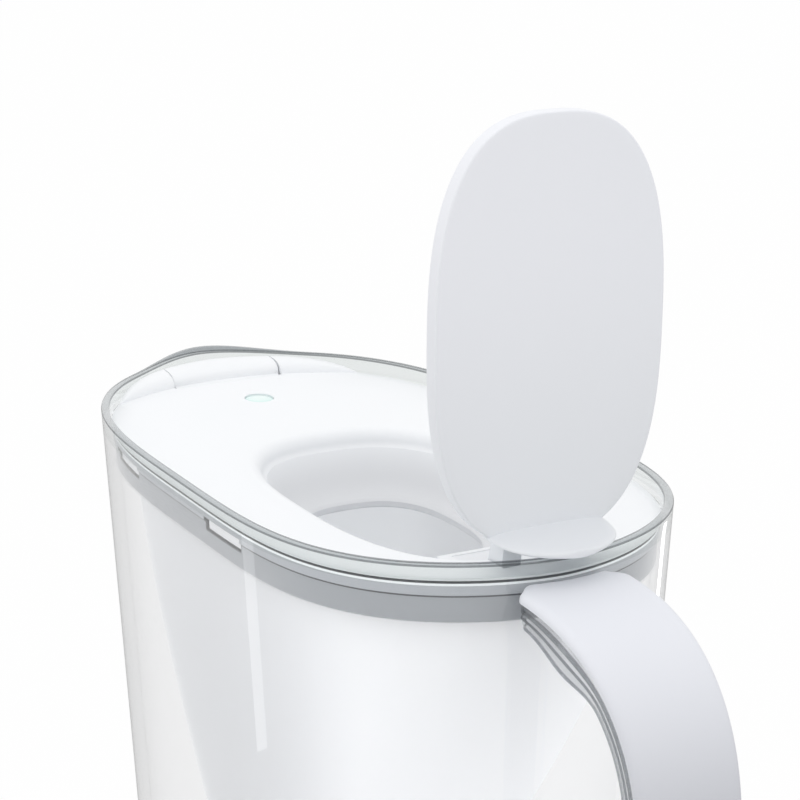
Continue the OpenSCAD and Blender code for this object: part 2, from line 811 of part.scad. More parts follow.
// ---- Flip lid, in its own plate frame: Z along the plate, +X out of its face ----
function plate_ring(grow, depth) = [
    for (t = around)
        let (p = outline(
            t, flip_l / 2 - grow, flip_l / 2 - grow, flip_w / 2 - grow,
            squareness_flip, squareness_flip, squareness_flip
        ))
        [-depth, -p.y, flip_l / 2 + p.x]
];

module flip_plate() {
    ring_body([
        plate_ring(7, flip_t - 0.5),
        plate_ring(5, flip_t),
        plate_ring(0.5, flip_t),
        plate_ring(0.14, flip_t - 0.14),
        plate_ring(0, flip_t - 0.5),
        plate_ring(0, 0.5),
        plate_ring(0.14, 0.16),
        plate_ring(0.5, 0.04),
        plate_ring(9, 0)
    ]);
}

// Ears that carry the plate on its hinge axis
module hinge_ears() {
    for (side = [-1, 1])
        translate([0, side * (ears_half_w - ear_w / 2), 0]) bar(ear_w / 2) hull() {
            translate([-hinge_back, -hinge_drop]) circle(r = ear_r);
            translate([-flip_t + 0.2, ear_root]) square([flip_t - 0.4, ear_root_l]);
        }
    translate([-hinge_back, 0, -hinge_drop]) rotate([90, 0, 0])
        cylinder(r = hinge_pin_r, h = 2 * (ears_half_w + hinge_pin_l), center = true);
}

// Thumb tab: flat ovals along X, narrower towards the tip
tab_sides = 20;
module thumb_tab() {
    steps = 9;
    ring_body([
        for (i = [0 : steps])
            let (
                u = i / steps,
                x = -flip_t / 2 + (tab_reach + flip_t / 2) * u,
                half = max(0.8, tab_w / 2 * pow(1 - pow(u, 2.8), 0.5)),
                thick = tab_t / 2 * (1 - 0.45 * pow(u, 3)),
                z = 3 - 0.35 * sin(180 * u) - 1.2 * u
            )
            [
                for (k = [0 : tab_sides - 1])
                    let (a = 360 * k / tab_sides, y = sign(cos(a)) * half * pow(abs(cos(a)), 0.6))
                    [x, y, z + thick * sin(a) + 0.8 * pow(y / (tab_w / 2), 2) * u]
            ]
    ]);
}

module flip_lid() {
    color([0.90, 0.91, 0.93])
        translate([flip_face_x, 0, rim_z + 0.26]) rotate([0, flip_lean, 0]) union() {
            flip_plate();
            hinge_ears();
            thumb_tab();
        }
}

// ---- Filter indicator, sealed under the lid ----
indicator_x = -(rim_spout_end - indicator_inset);
module_top_z = lid_z(indicator_x - module_w / 2, module_l / 2) - lid_t - 0.3;
module_floor_z = module_top_z - module_h;
cover_t = 1.4;
seal_t = 0.8;
crown_t = 2.4;
button_flange = 3;
button_pocket = 1.7;

module oval(l, w) {
    scale([w / l, 1]) circle(d = l);
}

module rounded_rect(w, l, r) {
    hull() for (x = [-1, 1], y = [-1, 1]) translate([x * (w / 2 - r), y * (l / 2 - r)]) circle(r = r);
}

// Lens that is also the reset button: it sinks into the housing's pocket
module indicator_window() {
    top = lid_z(indicator_x, 0) + 0.1;
    color([0.86, 0.95, 0.94]) translate([indicator_x, 0, module_top_z - 1.1]) {
        linear_extrude(1) oval(indicator_l + button_flange, indicator_w + button_flange);
        linear_extrude(top - module_top_z + 1.1) oval(indicator_l, indicator_w);
    }
}

module indicator_housing() {
    h = module_h - cover_t - seal_t;
    color([0.92, 0.93, 0.95]) translate([indicator_x, 0, module_floor_z + cover_t + seal_t])
        difference() {
            linear_extrude(h) rounded_rect(module_w, module_l, 3);
            translate([0, 0, -1]) linear_extrude(h - crown_t + 1)
                rounded_rect(module_w - 2 * module_wall, module_l - 2 * module_wall, 2);
            linear_extrude(h + 1) oval(indicator_l - 2, indicator_w - 2);
            translate([0, 0, h - button_pocket]) linear_extrude(button_pocket + 1)
                oval(indicator_l + button_flange + 0.8, indicator_w + button_flange + 0.8);
        }
}

board_t = 1;
led_h = 1.6;
board_z = module_top_z - crown_t - led_h - board_t - 0.2;
module indicator_board() {
    color([0.16, 0.42, 0.27]) translate([indicator_x, 0, board_z]) linear_extrude(board_t)
        difference() {
            rounded_rect(module_w - 2 * module_wall - 0.6, module_l - 2 * module_wall - 0.6, 1.6);
            for (side = [-1, 1]) translate([0, side * (module_l / 2 - module_wall - 2.2)]) circle(d = 1.6);
        }
}

module indicator_led() {
    color([0.95, 0.97, 0.90]) translate([indicator_x, 0, board_z + board_t]) {
        block([-1.75, -1.4, 0], [1.75, 1.4, led_h * 0.6]);
        cylinder(d = 2.2, h = led_h);
    }
}

module coin_cell() {
    color([0.78, 0.79, 0.80]) translate([indicator_x, 0, board_z - cell_t]) {
        cylinder(d = cell_d - 2.4, h = cell_t);
        translate([0, 0, 0.5]) cylinder(d = cell_d, h = cell_t - 0.5);
    }
}

// Spring clip that holds the cell against the board
module cell_clip() {
    strip = 3;
    reach = cell_d / 2 + 0.4;
    leaf_t = 0.4;
    color([0.83, 0.79, 0.62]) translate([indicator_x, 0, board_z]) union() {
        block([-strip / 2, -reach - leaf_t, -cell_t - leaf_t], [strip / 2, reach + leaf_t, -cell_t]);
        for (side = [-1, 1])
            translate([0, side * (reach + leaf_t / 2), -(cell_t + leaf_t) / 2])
                cube([strip, leaf_t, cell_t + leaf_t], center = true);
    }
}

module indicator_seal() {
    color([0.35, 0.36, 0.38]) translate([indicator_x, 0, module_floor_z + cover_t]) linear_extrude(seal_t)
        difference() {
            rounded_rect(module_w, module_l, 3);
            rounded_rect(module_w - 2 * module_wall, module_l - 2 * module_wall, 2);
        }
}

module indicator_cover() {
    color([0.92, 0.93, 0.95]) translate([indicator_x, 0, module_floor_z]) linear_extrude(cover_t)
        rounded_rect(module_w, module_l, 3);
}

// ---- Filter cartridge ----
seat_play = 0.05;
cart_top_z = seat_h + seat_play + gasket_t;
cart_foot_z = seat_h - cart_l;
flange_t = 2;
cap_slots = 12;

// Turns a section around the cartridge axis
module turned(z = 0) {
    translate([-socket_offset, 0, z]) rotate_extrude($fn = 64) children();
}

module cartridge_cup() {
    depth = cart_top_z - cart_foot_z;
    color([0.95, 0.96, 0.97]) difference() {
        turned(cart_foot_z) polygon([
            [0, 0], [cart_foot_r - 2, 0], [cart_foot_r, 2],
            [cart_r, depth - 14], [cart_r, depth], [cart_r + cart_flange, depth],
            [cart_r + cart_flange, depth + flange_t], [cart_r - cart_wall, depth + flange_t],
            [cart_r - cart_wall, depth - 14], [cart_foot_r - cart_wall, 3.2],
            [cart_foot_r - cart_wall - 1, cart_wall], [0, cart_wall]
        ]);
        for (i = [0 : cap_slots - 1])
            translate([-socket_offset, 0, cart_foot_z - 1]) rotate(i * 360 / cap_slots)
                translate([cart_foot_r * 0.55, 0, 0]) linear_extrude(4) square([8, 1.6], center = true);
    }
}

module cartridge_gasket() {
    color([0.62, 0.64, 0.66]) turned(seat_h + seat_play) polygon([
        [cart_r + 0.2, 0], [cart_r + cart_flange - 0.3, 0],
        [cart_r + cart_flange - 0.3, gasket_t], [cart_r + 0.2, gasket_t]
    ]);
}

// Domed cap with intake slots and a grip fin
fin_r = 9;
fin_t = 3.4;
fin_dish_r = 3.4;
module cartridge_cap() {
    z = cart_top_z + flange_t;
    color([0.95, 0.96, 0.97]) union() {
        difference() {
            turned(z) polygon([
                [cart_r - cart_wall - 0.1, -3], [cart_r - cart_wall - 0.1, 0],
                [cart_r + cart_flange - 0.6, 0],
                [cart_r + cart_flange - 0.6, 1.6], [cart_r - 1, 1.6], [cart_r - 3, 6], [cart_r - 8, 8.4],
                [0, 9.4], [0, 7.8], [cart_r - 8.4, 6.9], [cart_r - 4.6, 5],
                [cart_r - cart_wall - 1.5, 0], [cart_r - cart_wall - 1.5, -3]
            ]);
            for (i = [0 : cap_slots - 1])
                translate([-socket_offset, 0, z]) rotate((i + 0.5) * 360 / cap_slots)
                    translate([cart_r - 8, 0, 3]) linear_extrude(10) square([9, 1.6], center = true);
        }
        // Grip fin, with a hollow on both faces for finger and thumb
        translate([-socket_offset, 0, z + 8.6]) rotate([90, 0, 0]) difference() {
            union() {
                cylinder(r = fin_r, h = fin_t, center = true);
                translate([0, -0.6, 0]) cube([2 * fin_r, 1.2, fin_t], center = true);
            }
            for (side = [-1, 1])
                translate([0, fin_r * 0.5, side * fin_t / 2])
                    cylinder(r = fin_dish_r, h = 1.4, center = true);
            translate([0, -6, 0]) cube([20, 12, 4], center = true);
        }
    }
}

module cap_screen() {
    color([0.88, 0.90, 0.92]) translate([-socket_offset, 0, cart_top_z - 3.4]) difference() {
        cylinder(r = cart_r - cart_wall - 0.3, h = 0.8);
        for (ring = [1 : 3], i = [0 : 5 * ring - 1])
            rotate(i * 360 / (5 * ring)) translate([ring * 6, 0, -1]) cylinder(r = 1.2, h = 3, $fn = 16);
    }
}

module filter_media() {
    low = cart_foot_z + 3.4;
    color([0.30, 0.28, 0.26]) turned(low) polygon([
        [0, 0], [cart_foot_r - cart_wall - 0.6, 0], [cart_r - cart_wall - 0.6, cart_l - 19],
        [cart_r - cart_wall - 0.6, cart_top_z - 4 - low], [0, cart_top_z - 4 - low]
    ]);
}

module bottom_strainer() {
    color([0.88, 0.90, 0.92]) translate([-socket_offset, 0, cart_foot_z + 2.2]) difference() {
        cylinder(r = cart_foot_r - cart_wall - 1.4, h = 0.9);
        for (i = [0 : 17])
            rotate(i * 20) translate([cart_foot_r * 0.6, 0, -1])
                linear_extrude(3) square([6, 1], center = true);
    }
}

jug();
handle_grip();
funnel();
lid();
spout_flap();
flip_lid();
indicator_window();
indicator_housing();
indicator_board();
indicator_led();
coin_cell();
cell_clip();
indicator_seal();
indicator_cover();
cartridge_cup();
cartridge_cap();
cartridge_gasket();
cap_screen();
filter_media();
bottom_strainer();
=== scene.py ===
"""Water filter pitcher with a flip-up filling lid: its looks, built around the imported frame.

Sizes in the dataclasses are millimetres and degrees, as in the construction; meshes are metres.
"""

import json
import logging
import math
from dataclasses import dataclass, field
from enum import Enum

import bmesh
import bpy
import numpy as np
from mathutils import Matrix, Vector

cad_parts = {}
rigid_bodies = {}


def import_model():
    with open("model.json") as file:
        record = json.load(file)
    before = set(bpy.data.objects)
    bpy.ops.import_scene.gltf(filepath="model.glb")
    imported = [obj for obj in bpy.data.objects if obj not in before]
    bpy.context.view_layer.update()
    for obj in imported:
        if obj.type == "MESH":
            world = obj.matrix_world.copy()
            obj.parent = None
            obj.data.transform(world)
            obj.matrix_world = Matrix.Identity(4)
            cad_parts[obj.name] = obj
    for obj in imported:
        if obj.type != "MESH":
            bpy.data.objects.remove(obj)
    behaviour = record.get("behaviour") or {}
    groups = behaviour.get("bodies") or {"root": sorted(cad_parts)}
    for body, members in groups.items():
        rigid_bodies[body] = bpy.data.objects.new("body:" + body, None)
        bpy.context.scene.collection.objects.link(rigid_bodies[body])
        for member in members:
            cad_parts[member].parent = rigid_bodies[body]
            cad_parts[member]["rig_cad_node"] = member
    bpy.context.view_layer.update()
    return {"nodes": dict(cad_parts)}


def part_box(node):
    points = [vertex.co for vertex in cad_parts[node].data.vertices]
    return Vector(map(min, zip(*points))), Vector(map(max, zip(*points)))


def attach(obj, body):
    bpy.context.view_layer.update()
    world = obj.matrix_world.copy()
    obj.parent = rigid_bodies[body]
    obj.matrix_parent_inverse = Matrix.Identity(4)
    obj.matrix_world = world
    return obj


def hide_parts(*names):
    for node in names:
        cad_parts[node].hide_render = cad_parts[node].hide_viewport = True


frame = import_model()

MM = 0.001
SMOOTH_ANGLE = math.radians(32)
SAME_POINT = 1e-7
WELD = 1e-6
ROD_SIDES = 64
ARC_STEPS = 9
Profile = tuple[tuple[float, float], ...]
Array = np.ndarray
log = logging.getLogger("pitcher")


# ---- Outlines that several pieces share ----
def spread_angles(per_quarter: int, crowding: float = 1.7) -> Array:
    """Angles round an outline, closer together where it bends.

    Args:
        per_quarter: how many points each quarter has.
        crowding: how much closer they lie there.

    Returns:
        The angles in radians, from 0 to a full turn.
    """
    share = np.arange(per_quarter) / per_quarter
    quarter = 90 * (1 - (1 - share) ** crowding)
    back = 180 - np.append(90, quarter[:0:-1])
    return np.radians(np.concatenate([quarter, back, 180 + quarter, 180 + back]))


AROUND = spread_angles(52)


def outline(plus: float, minus: float, half: float, squares: tuple[float, float, float]) -> Array:
    """A rounded outline with its own half length towards +X and -X.

    Args:
        plus: half length towards +X.
        minus: half length towards -X.
        half: half width.
        squares: how square the +X end, the -X end and the sides are.

    Returns:
        The points as rows of x and y.
    """
    c, s = np.cos(AROUND), np.sin(AROUND)
    plus_x = plus * np.abs(c) ** (2 / squares[0])
    minus_x = -minus * np.abs(c) ** (2 / squares[1])
    y = np.sign(s) * half * np.abs(s) ** (2 / squares[2])
    return np.column_stack([np.where(c >= 0, plus_x, minus_x), y])


def smoothstep(value: Array | float) -> Array | float:
    """Eases a share from 0 to 1."""
    t = np.clip(value, 0, 1)
    return t * t * (3 - 2 * t)


def lift(flat: Array, z: Array | float) -> Array:
    """Rows of x and y with a height added."""
    return np.column_stack([flat, np.broadcast_to(z, len(flat))])


def mixed(a: Array, b: Array, share: float) -> Array:
    """The outline at a share of the way from a to b."""
    return a * (1 - share) + b * share


@dataclass(frozen=True)
class Form:
    """Driving sizes of the pitcher and the outlines that follow from them."""

    jug_h: float = 264
    handle_end: float = 98
    spout_end: float = 107
    half_w: float = 55.8
    squares: tuple[float, float, float] = (4.06, 3.4, 1.74)
    draft: float = 3
    rim_wall: float = 2.2
    rim_gap: float = 0.4
    collar_drop: float = 5.3
    collar_h: float = 9.9
    shelf_t: float = 1.6
    lid_gap: float = 0.1
    lid_drop: float = 0.7
    beak_reach: float = 6
    beak_half_w: float = 29
    beak_rise: float = 1.3
    beak_rise_h: float = 8
    beak_h: float = 52
    deck_drop: float = 4.4
    lid_crown: float = 0.2
    crest_w: float = 13.7
    crest_bow: float = 0.0083
    crest_round: float = 2.7
    crest_lip: Profile = ((0, 0.5), (0.05, 0.25), (0.18, 0.07), (0.4, 0))
    crest_steps: int = 20
    crest_crowding: float = 1.8
    crest_end: float = 38.2
    crest_fall: float = 6
    flip_l: float = 98.6
    flip_w: float = 59.4
    flip_t: float = 4.3
    flip_square: float = 2.68
    flip_lean: float = 0.95
    flip_inset: float = 10.4
    flip_gap: float = 0.8
    recess_stretch: float = 7
    hinge_drop: float = 10
    hinge_back: float = 5.3
    hinge_pin_r: float = 1.6
    ears_half_w: float = 11
    ear_r: float = 3.4
    ear_root: float = 4
    flip_rise: float = 0.26
    socket_offset: float = 16

    @property
    def slope(self) -> float:
        """How far the walls draw in for each unit of depth."""
        return math.tan(math.radians(self.draft))

    @property
    def collar_top(self) -> float:
        """Height at which the lid sits on the collar."""
        return self.jug_h - self.collar_drop

    @property
    def ledge(self) -> float:
        """Height of the ledge that carries the funnel."""
        return self.collar_top - self.collar_h

    @property
    def shelf(self) -> float:
        """Top of the funnel's shelf."""
        return self.ledge + self.shelf_t

    @property
    def lid_inset(self) -> float:
        """Inset of the lid's outer wall."""
        return self.rim_wall + self.rim_gap + self.lid_gap

    @property
    def flip_face_x(self) -> float:
        """Place of the open flip lid's face."""
        return self.handle_end - self.flip_inset

    @property
    def hinge(self) -> tuple[float, float]:
        """Place and height of the flip lid's axis.

        Returns:
            The axis as place along X and height.
        """
        lean = math.radians(self.flip_lean)
        x = self.flip_face_x - self.hinge_drop * math.sin(lean) - self.hinge_back * math.cos(lean)
        drop = self.hinge_drop * math.cos(lean) - self.hinge_back * math.sin(lean)
        return x, self.jug_h + self.flip_rise - drop

    @property
    def closed_z(self) -> float:
        """Height of the flip lid's face when it is closed."""
        return self.hinge[1] + self.hinge_back

    @property
    def flip_mid(self) -> float:
        """Middle of the closed flip lid."""
        return self.hinge[0] - self.hinge_drop - self.flip_l / 2

    def rim(self, inset: float) -> Array:
        """The rim's outline, moved inwards."""
        ends = (self.handle_end - inset, self.spout_end - inset, self.half_w - inset)
        return outline(*ends, self.squares)

    def rim_ring(self, inset: float, z: float) -> Array:
        """The rim's outline at a height."""
        return lift(self.rim(inset), z)

    def beak(self, flat: Array, z: float) -> Array:
        """Share of the beak that reaches each point at height z.

        Args:
            flat: the outline's points.
            z: its height.

        Returns:
            A share from 0 to 1 for each point.
        """
        across = np.minimum(1, np.abs(flat[:, 1]) / self.beak_half_w)
        side = np.where(flat[:, 0] < 0, np.cos(np.pi / 2 * across) ** 2, 0)
        return side * smoothstep((z - self.jug_h + self.beak_h) / self.beak_h)

    def jug_ring(self, inset: float, z: float) -> Array:
        """The jug's outline at height z, with its draft and beak.

        Args:
            inset: how far inside the outer face it lies.
            z: its height.

        Returns:
            The ring.
        """
        flat = self.rim(inset + (self.jug_h - z) * self.slope)
        share = self.beak(flat, z)
        rise = self.beak_rise * share * (z > self.jug_h - self.beak_rise_h)
        return np.column_stack([flat[:, 0] - self.beak_reach * share, flat[:, 1], z + rise])

    def recess(self, more: float) -> Array:
        """Outline of the recess for the closed flip lid.

        Args:
            more: how far outside the recess's foot it lies.

        Returns:
            The points as rows of x and y.
        """
        half, grow = self.flip_l / 2, self.flip_gap + more
        stretched = half + self.recess_stretch
        flat = outline(stretched + grow, half + grow, self.flip_w / 2 + grow, (self.flip_square,) * 3)
        return flat + [self.flip_mid, 0]

    def crown(self, flat: Array) -> Array:
        """Height of the lid's deck over each point.

        Args:
            flat: the points.

        Returns:
            The heights.
        """
        across = 1 - (flat[:, 1] / self.half_w) ** 2
        along = 1 - (flat[:, 0] / self.spout_end) ** 4
        return self.jug_h - self.deck_drop + self.lid_crown * across * along

    def deck_z(self, x: float, y: float) -> float:
        """Height of the lid's deck over one point."""
        return float(self.crown(np.array([[x, y]]))[0])

    def on_lid(self, flat: Array, drop: float) -> Array:
        """An outline laid on the lid's deck, or under it."""
        return lift(flat, self.crown(flat) - drop)

    def crest_foot(self, y: float) -> float:
        """Place along X of the bowed foot of the crest behind the beak."""
        return self.crest_w - self.spout_end + self.crest_bow * y * y

    def crest_bank(self, y: float, inset: float, foot: float) -> list[tuple[float, float, float]]:
        """Points over the crest's rounded bank.

        Args:
            y: place across the pitcher.
            inset: inset of the crest's outer wall.
            foot: where the bank meets the deck.

        Returns:
            The points from the outer wall to the foot.
        """
        out = float(self.end_x(y, inset, False))
        deck = self.deck_z(out, y)
        rise = (self.jug_h - self.lid_drop - deck) * (1 - abs(y / self.crest_end) ** self.crest_fall)
        points = [(out + i, y, deck + rise - d) for i, d in self.crest_lip]
        lip = self.crest_lip[-1][0]
        for s in 1 - (1 - np.linspace(0, 1, self.crest_steps)[1:]) ** self.crest_crowding:
            x = out + lip + (foot - out - lip) * s
            bank = (1 - s ** self.crest_round) ** (1 / self.crest_round)
            points.append((x, y, self.deck_z(x, y) + rise * bank))
        return points

    def side_y(self, x: float, inset: float) -> float:
        """Where the rim's outline, moved inwards, crosses a line across the pitcher.

        Args:
            x: place of the line.
            inset: how far the outline is moved.

        Returns:
            The half width there.
        """
        plus, minus, sides = self.squares
        end, square = (self.handle_end, plus) if x > 0 else (self.spout_end, minus)
        c = (abs(x) / (end - inset)) ** (square / 2)
        return (self.half_w - inset) * (1 - c * c) ** (1 / sides)

    def end_x(self, y: Array | float, inset: float, to_handle: bool) -> Array | float:
        """Where the rim's outline, moved inwards, crosses a line along the pitcher.

        Args:
            y: place of the line, or of several.
            inset: how far the outline is moved.
            to_handle: whether it is the end at the handle.

        Returns:
            The place along X of each crossing.
        """
        t = np.arcsin((np.abs(y) / (self.half_w - inset)) ** (self.squares[2] / 2))
        if to_handle:
            return (self.handle_end - inset) * np.cos(t) ** (2 / self.squares[0])
        return -(self.spout_end - inset) * np.cos(t) ** (2 / self.squares[1])


FORM = Form()


# ---- Modelling steps ----
class Ends(Enum):
    """How a loft is closed."""

    TUBE = "the last ring joins the first"
    CAPS = "a flat face at each end"


def select_only(piece: bpy.types.Object) -> None:
    """Leaves one object selected and active.

    Args:
        piece: the object.
    """
    bpy.ops.object.select_all(action="DESELECT")
    piece.select_set(True)
    bpy.context.view_layer.objects.active = piece


def place_selected(piece: bpy.types.Object, ring: Array) -> None:
    """Moves the selected loop of a loft onto its ring.

    Args:
        piece: the loft, in edit mode; its turn layer numbers the points of each loop.
        ring: the loop's points in millimetres.
    """
    mesh = bmesh.from_edit_mesh(piece.data)
    turn = mesh.verts.layers.int["turn"]
    for vert in mesh.verts:
        if vert.select:
            vert.co = ring[vert[turn]] * MM
    bmesh.update_edit_mesh(piece.data)


def select_ring(piece: bpy.types.Object, ring: Array) -> None:
    """Selects the loop of a loft, in edit mode, that lies on a ring.

    Args:
        piece: the loft.
        ring: the loop's points in millimetres.
    """
    mesh = bmesh.from_edit_mesh(piece.data)
    turn = mesh.verts.layers.int["turn"]
    for vert in mesh.verts:
        vert.select = (vert.co - Vector(ring[vert[turn]] * MM)).length < SAME_POINT
    mesh.select_flush_mode()
    mesh.select_flush(True)
    bmesh.update_edit_mesh(piece.data)


def loft(name: str, rings: list[Array], ends: Ends) -> bpy.types.Object:
    """Extrudes a circle from ring to ring and shapes each new loop.

    Args:
        name: the piece's name.
        rings: loops of points in millimetres, all with as many points.
        ends: how the skin is closed.

    Returns:
        The piece, smooth shaded.
    """
    bpy.ops.object.select_all(action="DESELECT")
    bpy.ops.mesh.primitive_circle_add(vertices=len(rings[0]), radius=1)
    piece = bpy.context.object
    piece.name = piece.data.name = name
    turn = piece.data.attributes.new("turn", "INT", "POINT")
    turn.data.foreach_set("value", np.arange(len(rings[0])))
    bpy.ops.object.mode_set(mode="EDIT")
    bpy.ops.mesh.select_all(action="SELECT")
    place_selected(piece, rings[0])
    path = rings[1:] + ([rings[0]] if ends is Ends.TUBE else [])
    for ring in path:
        bpy.ops.mesh.extrude_region_move()
        place_selected(piece, ring)
    if ends is Ends.CAPS:
        bpy.ops.mesh.edge_face_add()
        select_ring(piece, rings[0])
        bpy.ops.mesh.edge_face_add()
    bpy.ops.mesh.select_all(action="SELECT")
    bpy.ops.mesh.remove_doubles(threshold=WELD)
    bpy.ops.mesh.normals_make_consistent(inside=False)
    bpy.ops.object.mode_set(mode="OBJECT")
    piece.data.attributes.remove(piece.data.attributes["turn"])
    smooth(piece)
    return piece


def smooth(piece: bpy.types.Object) -> None:
    """Shades a piece smooth, but for its sharp edges."""
    select_only(piece)
    bpy.ops.object.shade_smooth_by_angle(angle=SMOOTH_ANGLE)


def apply_modifier(piece: bpy.types.Object, kind: str, **settings: object) -> None:
    """Adds a modifier to a piece and applies it.

    Args:
        piece: the piece.
        kind: the modifier's type.
        settings: its settings.
    """
    select_only(piece)
    modifier = piece.modifiers.new(kind.title(), kind)
    for key, value in settings.items():
        setattr(modifier, key, value)
    bpy.ops.object.modifier_apply(modifier=modifier.name)


def combine(piece: bpy.types.Object, other: bpy.types.Object, operation: str) -> None:
    """Unites, cuts or intersects a piece with another, which is used up.

    Args:
        piece: the piece that stays.
        other: the tool.
        operation: UNION, DIFFERENCE or INTERSECT.
    """
    apply_modifier(piece, "BOOLEAN", operation=operation, object=other, solver="MANIFOLD")
    bpy.data.objects.remove(other)


def box_piece(name: str, low: tuple[float, float, float],
              high: tuple[float, float, float]) -> bpy.types.Object:
    """A block from corner to corner.

    Args:
        name: the piece's name.
        low: lowest corner in millimetres.
        high: highest corner in millimetres.

    Returns:
        The block.
    """
    bpy.ops.object.select_all(action="DESELECT")
    bpy.ops.mesh.primitive_cube_add(size=1)
    piece = bpy.context.object
    piece.name = piece.data.name = name
    low_corner, high_corner = Vector(low) * MM, Vector(high) * MM
    piece.scale = high_corner - low_corner
    piece.location = (low_corner + high_corner) / 2
    bpy.ops.object.transform_apply(location=True, rotation=True, scale=True)
    return piece


def rod_y(name: str, x: float, z: float, radius: float, half: float, y: float = 0) -> bpy.types.Object:
    """A round rod along Y.

    Args:
        name: the piece's name.
        x: place of its axis.
        z: height of its axis.
        radius: its radius.
        half: half of its length.
        y: middle of its length.

    Returns:
        The rod.
    """
    bpy.ops.object.select_all(action="DESELECT")
    bpy.ops.mesh.primitive_cylinder_add(
        vertices=ROD_SIDES, radius=radius * MM, depth=2 * half * MM,
        location=(x * MM, y * MM, z * MM), rotation=(math.pi / 2, 0, 0))
    piece = bpy.context.object
    piece.name = piece.data.name = name
    bpy.ops.object.transform_apply(location=True, rotation=True, scale=True)
    return piece


def hull_of(name: str, parts: list[bpy.types.Object]) -> bpy.types.Object:
    """The convex hull round some parts, which are used up.

    Args:
        name: the piece's name.
        parts: what it goes round.

    Returns:
        The hull.
    """
    select_only(parts[0])
    for part in parts[1:]:
        part.select_set(True)
    bpy.ops.object.join()
    piece = bpy.context.object
    piece.name = piece.data.name = name
    bpy.ops.object.mode_set(mode="EDIT")
    bpy.ops.mesh.select_all(action="SELECT")
    bpy.ops.mesh.convex_hull()
    bpy.ops.object.mode_set(mode="OBJECT")
    return piece


def oval_rings(x: float, sizes: list[tuple[float, float, float]]) -> list[Array]:
    """Ovals around a vertical line.

    Args:
        x: place of the line.
        sizes: half width along X, half length along Y and height of each oval.

    Returns:
        The rings.
    """
    c, s = np.cos(AROUND), np.sin(AROUND)
    return [lift(np.column_stack([x + a * c, b * s]), z) for a, b, z in sizes]


# ---- Shader maths ----
Number = float | int


class Signal:
    """An output socket with arithmetic: each expression adds its Math nodes."""

    def __init__(self, sheet: "Sheet", socket: bpy.types.NodeSocket) -> None:
        """Keeps the sheet and the socket."""
        self.sheet = sheet
        self.socket = socket

    def _math(self, operation: str, *values: "Signal | Number") -> "Signal":
        """Adds a Math node on some values."""
        return self.sheet.add("ShaderNodeMath", {"operation": operation}, dict(enumerate(values)))

    def __add__(self, other: "Signal | Number") -> "Signal":
        """self + other."""
        return self._math("ADD", self, other)

    def __sub__(self, other: "Signal | Number") -> "Signal":
        """self - other."""
        return self._math("SUBTRACT", self, other)

    def __rsub__(self, other: Number) -> "Signal":
        """other - self."""
        return self._math("SUBTRACT", other, self)

    def __mul__(self, other: "Signal | Number") -> "Signal":
        """self * other."""
        return self._math("MULTIPLY", self, other)

    def off(self, centre: float) -> "Signal":
        """Distance from a value, without its sign."""
        return self._math("ABSOLUTE", self - centre)

    def eased(self, low: float, high: float) -> "Signal":
        """Runs smoothly from 0 at low to 1 at high."""
        settings = {"interpolation_type": "SMOOTHSTEP"}
        return self.sheet.add("ShaderNodeMapRange", settings, {0: self, 1: low, 2: high})


Colour = tuple[float, float, float]


class Sheet:
    """The node tree of one material, or of the world."""

    def __init__(self, owner: str | bpy.types.World) -> None:
        """Starts an empty node tree.

        Args:
            owner: a new material's name, or the world.
        """
        self.owner = bpy.data.materials.new(owner) if isinstance(owner, str) else owner
        self.owner.use_nodes = True
        self.nodes, self.links = self.owner.node_tree.nodes, self.owner.node_tree.links
        self.nodes.clear()

    def add(self, kind: str, settings: dict | None = None, sockets: dict | None = None,
            output: int | str = 0) -> Signal:
        """Adds a node.

        Args:
            kind: the node's type.
            settings: its own settings, set first.
            sockets: values or signals of its inputs, by name or number.
            output: which output is returned.

        Returns:
            The chosen output.
        """
        node = self.nodes.new(kind)
        for key, value in (settings or {}).items():
            setattr(node, key, value)
        for key, value in (sockets or {}).items():
            if isinstance(value, Signal):
                self.links.new(value.socket, node.inputs[key])
            elif isinstance(value, tuple) and len(value) == 3 and node.inputs[key].type == "RGBA":
                node.inputs[key].default_value = (*value, 1)
            else:
                node.inputs[key].default_value = value
        return Signal(self, node.outputs[output] if node.outputs else None)

    def place(self) -> Signal:
        """The point of the surface, in metres."""
        return self.add("ShaderNodeTexCoord", output="Object")

    def axis(self, name: str) -> Signal:
        """One coordinate of the point: X, Y or Z."""
        return self.add("ShaderNodeSeparateXYZ", sockets={0: self.place()}, output=name)

    def noise(self, scale: float, detail: float = 2, roughness: float = 0.5) -> Signal:
        """Soft noise over the surface, from 0 to 1.

        Args:
            scale: repeats for each metre.
            detail: how many finer layers it has.
            roughness: how strong the finer layers are.

        Returns:
            The noise.
        """
        values = {"Vector": self.place(), "Scale": scale, "Detail": detail, "Roughness": roughness}
        return self.add("ShaderNodeTexNoise", sockets=values)

    def mix(self, share: Signal | Number, a: Signal | Colour, b: Signal | Colour) -> Signal:
        """Mixes two colours."""
        return self.add("ShaderNodeMix", {"data_type": "RGBA"}, {0: share, 6: a, 7: b}, output=2)

    def bump(self, height: Signal, depth: float) -> Signal:
        """Turns heights from 0 to 1 into normals of a surface that deep, in metres."""
        return self.add("ShaderNodeBump", sockets={"Height": height, "Strength": 1.0, "Distance": depth})

    def surface(self, sockets: dict) -> Signal:
        """Adds the Principled shader."""
        return self.add("ShaderNodeBsdfPrincipled", sockets=sockets)

    def finish(self, shader: Signal, volume: Signal | None = None) -> bpy.types.Material:
        """Joins the shader to the output.

        Args:
            shader: the shader of the surface.
            volume: the shader of what it encloses, if there is one.

        Returns:
            The material.
        """
        sockets = {"Surface": shader, "Volume": volume} if volume else {"Surface": shader}
        self.add("ShaderNodeOutputMaterial", sockets=sockets)
        return self.owner


